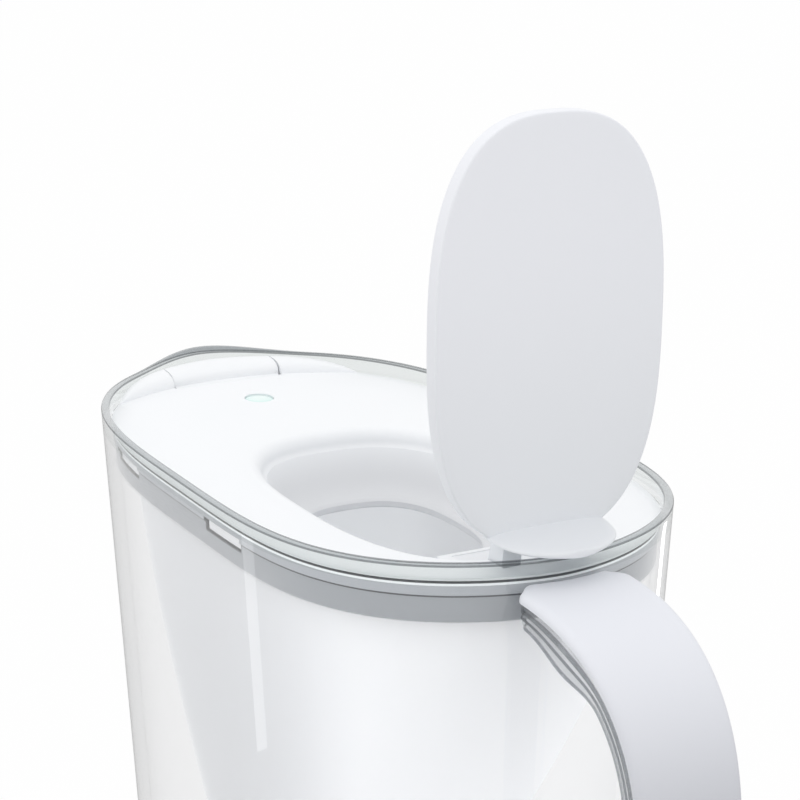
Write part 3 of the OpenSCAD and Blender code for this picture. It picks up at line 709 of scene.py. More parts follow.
# ---- Finishes ----
@dataclass(frozen=True)
class ClearPlastic:
    """Clear moulded plastic: a little grey in its depth, with painted shade above the collar and on its rim.

    Light goes straight through it, as through a thin wall, and its coat gives the reflections.
    """

    name: str = "clear_plastic"
    slot: str = "clear_plastic"
    # The handle's cores set a darker value here, as painted grey.
    tint_and_painted_shade: Colour = (0.994, 0.995, 0.998)
    # Painted shade: the band above the collar, the dark edge and the grey rim stand in for shade and
    # refraction in the wall.
    painted_band_shade: Colour = (0.80, 0.825, 0.82)
    upper_z: float = FORM.collar_top * MM
    painted_edge_shade: Colour = (0.10, 0.11, 0.115)
    painted_rim_shade: Colour = (0.36, 0.385, 0.40)
    rim_z: float = FORM.jug_h * MM
    absorbed: Colour = (0.83, 0.832, 0.836)
    density: float = 14.0
    roughness: float = 0.012
    ior: float = 1.0
    coat: float = 1.0
    wave_scale: float = 38.0
    wave_depth: float = 0.00002
    gloss_spread: float = 0.01
    coat_roughness: float = 0.02
    edge_h: float = 0.0008
    lip_h: float = 0.0003
    soft: float = 0.0001

    def colours(self, sheet: Sheet) -> Signal:
        """Clear walls, with painted shade: greyer above the collar, and a dark edge under a grey rim, in
        place of the wall's shade and refraction.

        Args:
            sheet: the material's node tree.

        Returns:
            The colour over the surface.
        """
        z, edge_z, lip_z = sheet.axis("Z"), self.rim_z - self.edge_h, self.rim_z - self.lip_h
        # Painted shade: greyer above the collar, then a dark edge and a grey rim at the top.
        wall = sheet.mix(z.eased(self.upper_z, self.upper_z + 2 * self.soft), self.tint_and_painted_shade, self.painted_band_shade)
        edge = sheet.mix(z.eased(edge_z, edge_z + self.soft), wall, self.painted_edge_shade)
        return sheet.mix(z.eased(lip_z, lip_z + self.soft), edge, self.painted_rim_shade)

    def material(self) -> bpy.types.Material:
        """Builds the material.

        Returns:
            The material.
        """
        sheet = Sheet(self.name)
        wave = sheet.noise(self.wave_scale, 1)
        body = sheet.surface({
            "Base Color": self.colours(sheet),
            "Roughness": wave * self.gloss_spread + self.roughness,
            "IOR": self.ior,
            "Transmission Weight": 1.0,
            "Coat Weight": self.coat,
            "Coat Roughness": self.coat_roughness,
            "Normal": sheet.bump(wave, self.wave_depth),
        })
        open_to_lamps = sheet.add("ShaderNodeBsdfTransparent")
        shadow_ray = sheet.add("ShaderNodeLightPath", output="Is Shadow Ray")
        shader = sheet.add("ShaderNodeMixShader", sockets={0: shadow_ray, 1: body, 2: open_to_lamps})
        depth = sheet.add("ShaderNodeVolumeAbsorption",
                          sockets={"Color": self.absorbed, "Density": self.density})
        return sheet.finish(shader, depth)


@dataclass(frozen=True)
class SatinPlastic:
    """Moulded plastic with a fine spark-eroded grain and a faint flow of colour and gloss."""

    name: str
    colour: Colour
    shade: Colour
    roughness: float = 0.38
    grain_scale: float = 2600.0
    grain_depth: float = 0.000012
    flow_scale: float = 24.0
    gloss_scale: float = 72.0
    gloss_spread: float = 0.1
    through: float = 0.0
    # glow is painted light: the surface emits its own colour though it is no lamp.
    glow: float = 0.0
    # deep and the span after it paint shade: below that span of heights the colour darkens to deep.
    deep: Colour = (0.0, 0.0, 0.0)
    painted_shade_span: tuple[float, float] = (0.0, 0.0)

    def colours(self, sheet: Sheet) -> Signal:
        """The colour over the surface, darkened low down by painted shade where a span of heights is set.

        Args:
            sheet: the material's node tree.

        Returns:
            The colour.
        """
        colour = sheet.mix(sheet.noise(self.flow_scale, 3), self.colour, self.shade)
        # Painted shade: darker low down.
        if self.painted_shade_span[1]:
            colour = sheet.mix(sheet.axis("Z").eased(*self.painted_shade_span), self.deep, colour)
        return colour

    def gloss(self, sheet: Sheet) -> Signal:
        """The roughness over the surface, a little uneven."""
        flow = sheet.noise(self.gloss_scale, 2)
        return flow * self.gloss_spread + (self.roughness - self.gloss_spread / 2)

    def translucent(self, sheet: Sheet) -> Signal | Number:
        """How much of the surface lets light through."""
        return self.through

    def material(self) -> bpy.types.Material:
        """Builds the material.

        Returns:
            The material.
        """
        sheet = Sheet(self.name)
        grain = sheet.noise(self.grain_scale, 2, 0.6)
        colour = self.colours(sheet)
        shader = sheet.surface({
            "Base Color": colour,
            "Roughness": self.gloss(sheet),
            # Painted glow: the surface emits its own colour at the glow strength.
            "Emission Color": colour,
            "Emission Strength": self.glow,
            "Normal": sheet.bump(grain, self.grain_depth),
        })
        if self.through:
            let_through = sheet.add("ShaderNodeBsdfTranslucent", sockets={"Color": self.colour})
            share = self.translucent(sheet)
            shader = sheet.add("ShaderNodeMixShader", sockets={0: share, 1: shader, 2: let_through})
        return sheet.finish(shader)


@dataclass(frozen=True)
class HopperPlastic(SatinPlastic):
    """Pale satin plastic with painted light: a grey collar, dark shadow lines, a pale highlight on the
    collar's upper edge, and darker sides and spout end on the bowl.
    """

    # Painted shade: the collar's lip and face are painted grey.
    painted_lip_shade: Colour = (0.365, 0.385, 0.41)
    painted_face_shade: Colour = (0.295, 0.312, 0.332)
    # Painted shadow: dark lines under the step, at the seam and round the window jambs.
    painted_shadow_line: Colour = (0.07, 0.075, 0.08)
    # Painted highlight: a pale band along the collar's upper edge.
    painted_edge_highlight: Colour = (0.86, 0.88, 0.90)
    # Painted shade: the bowl darker towards its sides and its spout end.
    painted_side_shade: Colour = (0.67, 0.68, 0.695)
    painted_spout_end_shade: Colour = (0.85, 0.86, 0.87)
    spout_lean: float = 0.31
    spout_from: tuple[float, float] = (-0.034, -0.008)
    side_lean: float = 0.2
    side_from: tuple[float, float] = (-0.011, 0.006)
    low: tuple[float, float] = (0.2465, 0.2485)
    step_z: float = 0.2553
    top_z: float = FORM.collar_top * MM
    windows: tuple[float, float] = (0.023, -0.043)
    window_z: float = 0.2548
    window_half: tuple[float, float] = (0.01, 0.00165)
    window_shift: tuple[float, float] = (0.00015, 0.00012)
    jamb: tuple[float, float] = (0.00017, 0.00014)
    soft_jamb: float = 0.00004
    step_shadow_h: float = 0.0005
    edge_h: float = 0.0010
    seam_shadow_h: float = 0.0004
    soft: float = 0.0001

    def translucent(self, sheet: Sheet) -> Signal:
        """Only the bowl lets light through; the collar, painted grey, does not."""
        return (1 - sheet.axis("Z").eased(*self.low)) * self.through

    def colours(self, sheet: Sheet) -> Signal:
        """The pale bowl with painted shade on its sides and spout end, and the collar painted grey with
        painted shadow lines at the step, the seam and the window jambs and a painted highlight on its upper
        edge.

        Args:
            sheet: the material's node tree.

        Returns:
            The colour over the surface.
        """
        z = sheet.axis("Z")
        # Painted shade: the bowl darker towards its sides.
        beside = (sheet.axis("Y").off(0) - z * self.side_lean).eased(*self.side_from)
        colour = sheet.mix(beside, super().colours(sheet), self.painted_side_shade)
        # Painted shade: the bowl darker towards its spout end.
        ahead = (sheet.axis("X") * -1.0 - z * self.spout_lean).eased(*self.spout_from)
        colour = sheet.mix(ahead, colour, self.painted_spout_end_shade)
        step_shadow_z, edge_z = self.step_z - self.step_shadow_h, self.top_z - self.edge_h
        seam_shadow_z = self.top_z - self.seam_shadow_h
        # Painted shade on the collar's face and lip, painted shadow lines under the step and at the seam, and
        # a painted highlight on the upper edge.
        bands = [(*self.low, self.painted_face_shade), (step_shadow_z, step_shadow_z + self.soft, self.painted_shadow_line),
                 (self.step_z, self.step_z + self.soft, self.painted_lip_shade),
                 (edge_z, edge_z + self.soft, self.painted_edge_highlight),
                 (seam_shadow_z, seam_shadow_z + self.soft / 2, self.painted_shadow_line)]
        for low, high, band in bands:
            colour = sheet.mix(z.eased(low, high), colour, band)
        # Painted shadow lines round the window jambs, shifted to one side and the bottom.
        half_l, half_h = (half + jamb for half, jamb in zip(self.window_half, self.jamb))
        across, up = self.window_shift
        for x in self.windows:
            beside = sheet.axis("X").off(x - across).eased(half_l, half_l + self.soft_jamb)
            above = z.off(self.window_z - up).eased(half_h, half_h + self.soft_jamb)
            colour = sheet.mix((1 - beside) * (1 - above), colour, self.painted_shadow_line)
        return colour


@dataclass(frozen=True)
class SoftGrip(SatinPlastic):
    """Soft-touch strip: satin, with a very fine pebble."""

    pebble_scale: float = 1500.0
    gloss_scale: float = 96.0
    gloss_spread: float = 0.12
    sheen: float = 0.12
    sheen_roughness: float = 0.4

    def material(self) -> bpy.types.Material:
        """Builds the material.

        Returns:
            The material.
        """
        sheet = Sheet(self.name)
        pebble = sheet.add("ShaderNodeTexVoronoi", {"feature": "SMOOTH_F1"},
                           {"Vector": sheet.place(), "Scale": self.pebble_scale})
        shader = sheet.surface({
            "Base Color": self.colours(sheet),
            "Roughness": self.gloss(sheet),
            "Sheen Weight": self.sheen,
            "Sheen Roughness": self.sheen_roughness,
            "Normal": sheet.bump(pebble, self.grain_depth),
        })
        return sheet.finish(shader)


@dataclass(frozen=True)
class Metal:
    """Sheet metal with fine drawn lines."""

    name: str
    colour: Colour
    roughness: float = 0.28
    line_scale: float = 2200.0
    stretch: float = 0.02
    line_depth: float = 0.000004
    dark_share: float = 0.82
    gloss_spread: float = 0.16

    def material(self) -> bpy.types.Material:
        """Builds the material.

        Returns:
            The material.
        """
        sheet = Sheet(self.name)
        stretched = sheet.add("ShaderNodeMapping", {"vector_type": "POINT"},
                              {"Vector": sheet.place(), "Scale": (1.0, self.stretch, 1.0)})
        lines = sheet.add("ShaderNodeTexNoise",
                          sockets={"Vector": stretched, "Scale": self.line_scale, "Detail": 3.0})
        dark = tuple(self.dark_share * c for c in self.colour)
        shader = sheet.surface({
            "Base Color": sheet.mix(lines, self.colour, dark),
            "Metallic": 1.0,
            "Roughness": lines * self.gloss_spread + (self.roughness - self.gloss_spread / 2),
            "Normal": sheet.bump(lines, self.line_depth),
        })
        return sheet.finish(shader)


@dataclass(frozen=True)
class Board:
    """Circuit board: solder mask with raised tracks and the laminate's weave."""

    name: str = "board"
    colour: Colour = (0.03, 0.15, 0.06)
    track: Colour = (0.06, 0.26, 0.10)
    weave_scale: float = 420.0
    track_w: float = 0.018
    track_depth: float = 0.00003
    roughness: float = 0.3

    def material(self) -> bpy.types.Material:
        """Builds the material.

        Returns:
            The material.
        """
        sheet = Sheet(self.name)
        tracks = sheet.add("ShaderNodeTexBrick", {"offset": 0.5}, {
            "Vector": sheet.place(), "Scale": self.weave_scale, "Mortar Size": self.track_w,
            "Color1": (0.0, 0.0, 0.0), "Color2": (0.0, 0.0, 0.0), "Mortar": (1.0, 1.0, 1.0)})
        share = sheet.add("ShaderNodeRGBToBW", sockets={0: tracks})
        shader = sheet.surface({
            "Base Color": sheet.mix(share, self.colour, self.track),
            "Roughness": sheet.noise(300) * 0.1 + self.roughness,
            "Normal": sheet.bump(share, self.track_depth),
        })
        return sheet.finish(shader)


@dataclass(frozen=True)
class Granules:
    """Loose carbon and resin grains."""

    name: str = "carbon"
    dark: Colour = (0.012, 0.012, 0.013)
    light: Colour = (0.36, 0.27, 0.17)
    scale: float = 1100.0
    light_share: tuple[float, float] = (0.55, 0.7)
    roughness: float = 0.75
    gloss: float = -0.25
    depth: float = 0.0004

    def material(self) -> bpy.types.Material:
        """Builds the material.

        Returns:
            The material.
        """
        sheet = Sheet(self.name)
        cells = {"Vector": sheet.place(), "Scale": self.scale}
        heights = sheet.add("ShaderNodeTexVoronoi", sockets=cells)
        grains = sheet.add("ShaderNodeTexVoronoi", sockets=cells, output="Color")
        pick = sheet.add("ShaderNodeSeparateColor", sockets={0: grains}).eased(*self.light_share)
        shader = sheet.surface({
            "Base Color": sheet.mix(pick, self.dark, self.light),
            "Roughness": pick * self.gloss + self.roughness,
            "Normal": sheet.bump(1 - heights, self.depth),
        })
        return sheet.finish(shader)


@dataclass(frozen=True)
class Lens:
    """Milky lens over the filter indicator: pale cyan, with a brighter middle."""

    name: str = "window_plastic"
    colour: Colour = (0.74, 0.93, 0.90)
    middle: Colour = (0.84, 0.96, 0.94)
    centre: tuple[float, float] = (-0.069, 0.0)
    bright_r2: float = 0.000014
    roughness: float = 0.16
    coat: float = 0.3
    wave_depth: float = 0.000006

    def material(self) -> bpy.types.Material:
        """Builds the material.

        Returns:
            The material.
        """
        sheet = Sheet(self.name)
        x = sheet.axis("X") - self.centre[0]
        y = sheet.axis("Y") - self.centre[1]
        glow = 1 - (x * x + y * y).eased(0.0, self.bright_r2)
        shader = sheet.surface({
            "Base Color": sheet.mix(glow, self.colour, self.middle),
            "Roughness": sheet.noise(400) * 0.06 + self.roughness,
            "Coat Weight": self.coat,
            "Normal": sheet.bump(sheet.noise(900, 1), self.wave_depth),
        })
        return sheet.finish(shader)


CLEAR = ClearPlastic()
# Painted shade: the handle core is painted grey and its ribs carry painted stripes and a painted shadow line
# under the strip, in place of refraction and the strip's shadow.
CORE = ClearPlastic("clear_core", tint_and_painted_shade=(0.74, 0.75, 0.765), density=20.0, wave_depth=0.000001)
CORE_PAINTED_STRIPE = ClearPlastic("clear_core_painted_stripe", tint_and_painted_shade=(0.46, 0.48, 0.495), density=20.0, wave_depth=0.000001)
CORE_PAINTED_GAP_SHADOW = ClearPlastic("clear_core_painted_gap_shadow", tint_and_painted_shade=(0.16, 0.17, 0.18), density=20.0, wave_depth=0.000001)
# Painted shade: the lid darkens to deep below the collar's top, in the dished recess towards the filling hole
# and on its skirt and lugs.
WHITE = SatinPlastic("white_plastic", (0.94, 0.953, 0.97), (0.92, 0.937, 0.96), 0.42, deep=(0.74, 0.75, 0.77),
                     painted_shade_span=(0.247, 0.2590))
# Painted shade: the flip lid darkens to deep towards its lower end.
LILAC = SatinPlastic("lilac_grey_plastic", (0.905, 0.915, 0.955), (0.885, 0.90, 0.943), 0.4,
                     deep=(0.82, 0.84, 0.87), painted_shade_span=(0.262, 0.34))
# Painted light: the funnel glows a little so the inside of the filling hole reads bright.
PALE = HopperPlastic("pale_plastic", (0.945, 0.95, 0.958), (0.93, 0.936, 0.947), 0.45, through=0.4, glow=0.17)
# Painted shade: the soft strip darkens to deep down the grip.
GRIP = SoftGrip("soft_grip", (0.90, 0.915, 0.965), (0.885, 0.90, 0.955), 0.5, grain_depth=0.00001,
                deep=(0.52, 0.53, 0.57), painted_shade_span=(0.19, 0.275))
HOUSING = SatinPlastic("housing_plastic", (0.84, 0.86, 0.88), (0.80, 0.82, 0.85), 0.5)
CARTRIDGE = SatinPlastic("cartridge_plastic", (0.90, 0.91, 0.92), (0.87, 0.88, 0.90), 0.35)
SCREEN = SatinPlastic("screen_plastic", (0.78, 0.80, 0.82), (0.70, 0.73, 0.76), 0.55, 5200.0, 0.00003)
SEAL = SatinPlastic("seal_rubber", (0.10, 0.105, 0.115), (0.075, 0.08, 0.09), 0.7, 3000.0, 0.00002)
GASKET = SatinPlastic("gasket_rubber", (0.34, 0.37, 0.39), (0.30, 0.33, 0.35), 0.62, 3000.0, 0.00002)
LED = SatinPlastic("led", (0.90, 0.92, 0.80), (0.84, 0.86, 0.74), 0.18)
STEEL = Metal("cell_steel", (0.60, 0.61, 0.62))
BRASS = Metal("clip_brass", (0.66, 0.58, 0.34))
BOARD = Board()
CARBON = Granules()
LENS = Lens()

Finish = ClearPlastic | SatinPlastic | Metal | Board | Granules | Lens
_made: dict[str, bpy.types.Material] = {}


def dress(piece: bpy.types.Object, finish: Finish) -> None:
    """Gives a piece its finish.

    Args:
        piece: the piece.
        finish: its finish.
    """
    if finish.name not in _made:
        _made[finish.name] = finish.material()
    if not piece.material_slots:
        piece.data.materials.append(_made[finish.name])
    for slot in piece.material_slots:
        slot.material = _made[finish.name]
    if "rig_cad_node" not in piece:
        getattr(finish, "slot", finish.name)


def hand_over(piece: bpy.types.Object, body: str, node: str, finish: Finish) -> None:
    """Dresses a new piece, puts it on its body and hides the node that it stands for.

    Args:
        piece: the new piece.
        body: the body that it rides on.
        node: the node that it stands for.
        finish: its finish.
    """
    smooth(piece)
    dress(piece, finish)
    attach(piece, body)
    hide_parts(node)
    log.info("%s: %d faces on %s", piece.name, len(piece.data.polygons), body)


# ---- Jug ----
@dataclass
class Jug:
    """Clear jug with a pouring beak and the clear core of its handle, and the soft strip on it."""

    form: Form
    wall: float = 3.6
    floor_t: float = 3.2
    base_corner: float = 11
    foot: Profile = ((6, 1.2), (4.6, 0.5), (4, 0))
    first_ring: float = 30
    ring_step: float = 4
    inner_rim_h: float = 5
    ledge_round: float = 0.4
    rim_round: float = 0.7
    reach: float = 50.7
    core_w: float = 28
    grip_w: float = 24.8
    drop: float = 5.6
    bend_top_h: float = 50
    grip_straight: float = 44
    bend_low_h: float = 66
    bend_square: float = 2.5
    strip_t: float = 2.4
    overhang: float = 0.8
    strip_corner: float = 3.4
    strip_side: Profile = ((1.6, 0.1), (0.95, 0.33), (0.45, 0.7), (0.12, 1.15), (0, 1.6))
    strip_flat: float = 2.4
    strip_gap: float = 0.1
    strip_root_gap: float = 0.3
    core_t: float = 7.4
    swell: float = 3.4
    swell_end: float = 0.5
    swell_from: float = 0.5
    side_round: float = 2.8
    side_flat: float = 0.4
    root_bite: float = 2.5
    bend_steps: int = 38
    bend_from: float = 0.055
    straight_steps: int = 6
    root_steps: tuple[float, ...] = (0.016, 0.019, 0.023, 0.028, 0.034, 0.041)
    # The ribs are painted: a shadow line right under the strip, then stripes of painted shade along the core.
    ribs: tuple[tuple[str, float, float, ClearPlastic], ...] = (
        ("core_painted_gap_shadow", 0.0, 0.35, CORE_PAINTED_GAP_SHADOW), ("core_painted_stripe_upper", 1.7, 0.8, CORE_PAINTED_STRIPE),
        ("core_painted_stripe_middle", 3.6, 0.3, CORE_PAINTED_STRIPE), ("core_painted_stripe_back", 6.1, 0.5, CORE_PAINTED_STRIPE))
    rib_h: float = 0.16
    rib_bevel: float = 0.06
    rib_bite: float = 0.4
    low_rib: float = 0.7
    low_rib_inset: float = 0.9
    across: Array = field(default_factory=lambda: np.linspace(1, -1, 15))

    def corner(self, inset: float, z: float, radius: float, turns: list[float]) -> list[Array]:
        """Rings round the corner between wall and base.

        Args:
            inset: inset of the wall's face.
            z: height of the base's face.
            radius: radius of the corner.
            turns: how far round each ring lies, in degrees, 0 at the base and 90 at the wall.

        Returns:
            The rings.
        """
        arc = [(1 - math.sin(math.radians(a)), 1 - math.cos(math.radians(a))) for a in turns]
        return [self.form.jug_ring(inset + radius * i, z + radius * j) for i, j in arc]

    def shell_rings(self) -> list[Array]:
        """Rings from the underside up the outside, over the rim and down the inside.

        Returns:
            The rings.
        """
        form, top, ledge = self.form, self.form.jug_h, self.form.ledge
        inner = self.base_corner - self.wall
        step, beak_z = self.ring_step, top - form.beak_h
        heights = [*np.linspace(self.first_ring, beak_z, 8), *np.linspace(beak_z + step, top - step, 12)]
        turns = np.linspace(0, 90, ARC_STEPS)
        rounding = [
            (self.rim_round * (1 - math.cos(a)), top - self.rim_round * (1 - math.sin(a)))
            for a in np.radians(np.linspace(0, 90, 6))]
        rings = [form.jug_ring(self.base_corner + i, z) for i, z in self.foot]
        rings += self.corner(0, 0, self.base_corner, list(turns))
        rings += [form.jug_ring(0, z) for z in heights]
        rings += [form.jug_ring(i, z) for i, z in rounding]
        rings += [form.jug_ring(form.rim_wall - i, z) for i, z in reversed(rounding)]
        bend = self.ledge_round
        rings += [form.jug_ring(form.rim_wall, z) for z in (top - self.inner_rim_h, ledge + bend)]
        rings += [form.jug_ring(form.rim_wall + 0.15, ledge + 0.1), form.jug_ring(self.wall - bend, ledge)]
        rings += [form.jug_ring(self.wall - 0.1, ledge - 0.1), form.jug_ring(self.wall, ledge - 0.5)]
        rings += [form.jug_ring(self.wall, z) for z in reversed(heights) if z < ledge - 2]
        rings += self.corner(self.wall, self.floor_t, inner, list(turns[::-1]))
        return rings

    def bend(self, degrees: Array | float) -> Array | float:
        """How far round a handle bend is."""
        return np.sin(np.radians(degrees)) ** (2 / self.bend_square)

    @property
    def roots(self) -> tuple[float, float]:
        """Where the profile starts inside the wall.

        Returns:
            Its place along X at the upper and the lower root.
        """
        form = self.form
        depth = self.drop + self.bend_top_h + self.grip_straight + self.bend_low_h
        return form.handle_end - self.root_bite, form.handle_end - self.root_bite - depth * form.slope

    def handle_point(self, u: float, depth: float) -> tuple[float, float]:
        """A point of the handle's profile.

        Args:
            u: from 0 at the upper root to 3 at the lower root.
            depth: depth under the grip's face.

        Returns:
            Its place along X and its height.
        """
        form = self.form
        out = form.handle_end + self.reach
        top_z = form.jug_h - self.drop - self.bend_top_h
        low_z = top_z - self.grip_straight
        top_root, low_root = self.roots
        if u <= 1:
            return (top_root + (out - top_root - depth) * self.bend(90 * u),
                    top_z + (self.bend_top_h - depth) * self.bend(90 - 90 * u))
        if u <= 2:
            return out - depth, top_z - self.grip_straight * (u - 1)
        return (low_root + (out - low_root - depth) * self.bend(270 - 90 * u),
                low_z - (self.bend_low_h - depth) * self.bend(90 * u - 180))

    def narrowed(self, u: float, corner: float) -> float:
        """Share of the section's width at a station, with rounded corners at the roots.

        Args:
            u: the station, from 0 to 3.
            corner: radius of the corners.

        Returns:
            The share.
        """
        waist = 1 - (1 - self.grip_w / self.core_w) * (1 - math.cos(math.pi * min(1, u))) / 2
        root = self.roots[0 if u < 1.5 else 1] + self.root_bite
        way = max(0.0, min(corner, self.handle_point(u, 0)[0] - root))
        lost = corner - math.sqrt(corner ** 2 - (corner - way) ** 2)
        return waist * (1 - lost / (self.core_w / 2 + self.overhang))

    def sweep(self, name: str, section: list[tuple[float, float]], end_inset: float,
              corner: float) -> bpy.types.Object:
        """Sweeps a section along the handle, its ends fitted to the jug's wall.

        Args:
            name: the piece's name.
            section: points as place across and depth under the grip's face.
            end_inset: how far inside the wall's face the ends lie.
            corner: radius of the section's corners where it meets the wall.

        Returns:
            The swept piece.
        """
        bend = [0, *self.root_steps, *np.linspace(self.bend_from, 1, self.bend_steps)]
        straight = np.linspace(1, 2, self.straight_steps)[1:-1]
        stations = [*bend, *straight, *[3 - u for u in reversed(bend)]]
        rings = []
        for u in stations:
            swell = self.swell * math.sin(math.pi * u / self.swell_end) ** 2 if u < self.swell_end else 0
            share = self.narrowed(u, corner)
            ring = []
            for across, depth in section:
                y = across * share
                below = (depth - self.strip_t - self.swell_from) / (self.core_t - self.swell_from)
                extra = swell * min(1, max(0, below))
                x, z = self.handle_point(u, depth + extra)
                if u in (0, 3):
                    x = float(self.form.end_x(y, end_inset + (self.form.jug_h - z) * self.form.slope, True))
                ring.append((x, y, z))
            rings.append(np.array(ring))
        return loft(name, rings, Ends.CAPS)

    def core_section(self) -> list[tuple[float, float]]:
        """The clear core: a flat bar with a rounded back.

        Returns:
            The section, as place across and depth under the grip's face.
        """
        half, top, deep, bend = self.core_w / 2, self.strip_t, self.core_t, self.side_round
        flat, round_share = self.side_flat, 1 - self.side_flat
        row = [(k * half, top) for k in self.across]
        turns = np.radians(np.linspace(0, 90, ARC_STEPS))[:-1]
        side = [(bend - half - bend * math.cos(a), top + deep * (flat + round_share * math.sin(a)))
                for a in turns]
        back = [(-k * (half - bend), top + deep) for k in self.across]
        return row + side + back + [(-y, d) for y, d in reversed(side)]

    def rib_section(self, start: float, thick: float, side: int) -> list[tuple[float, float]]:
        """A low rib along a side of the core, which carries painted shade.

        Args:
            start: its depth under the strip.
            thick: how thick it is.
            side: 1 for one side, -1 for the other.

        Returns:
            The section.
        """
        top, bevel = self.strip_t + start, self.rib_bevel
        low, out = top + thick, self.core_w / 2 + self.rib_h
        out -= self.low_rib_inset if start > self.low_rib * self.core_t else 0
        root = out - self.rib_h - self.rib_bite
        row = [(root, top), (out - bevel, top), (out, top + bevel),
               (out, low - bevel), (out - bevel, low), (root, low)]
        return row[::-1] if side > 0 else [(-y, d) for y, d in row]

    def strip_section(self) -> list[tuple[float, float]]:
        """The soft strip: a flat band with rounded sides.

        Returns:
            The section, as place across and depth under the grip's face.
        """
        half, inner = self.core_w / 2 + self.overhang, self.strip_t - self.strip_gap
        row = [(k * (half - self.strip_flat), 0.0) for k in self.across]
        side = [(i - half, depth) for i, depth in self.strip_side]
        back = [(-k * half, inner) for k in self.across]
        return row + side + back + [(-y, d) for y, d in reversed(side)]

    def build(self) -> None:
        """Models the jug and its grip."""
        jug = loft("jug_clear", self.shell_rings(), Ends.CAPS)
        hand_over(jug, "jug_body", "jug", CLEAR)
        in_wall = self.form.rim_wall / 2
        core = self.sweep("handle_core", self.core_section(), in_wall, self.strip_corner)
        hand_over(core, "jug_body", "jug", CORE)
        # The ribs wear painted shade: a shadow line under the strip and stripes along the core.
        for name, start, thick, finish in self.ribs:
            for word, side in (("left", -1), ("right", 1)):
                section = self.rib_section(start, thick, side)
                rib = self.sweep(f"{name}_{word}", section, in_wall, self.strip_corner)
                hand_over(rib, "jug_body", "jug", finish)
        grip = self.sweep("handle_strip", self.strip_section(), -self.strip_root_gap, self.strip_corner)
        hand_over(grip, "jug_body", "handle_grip", GRIP)


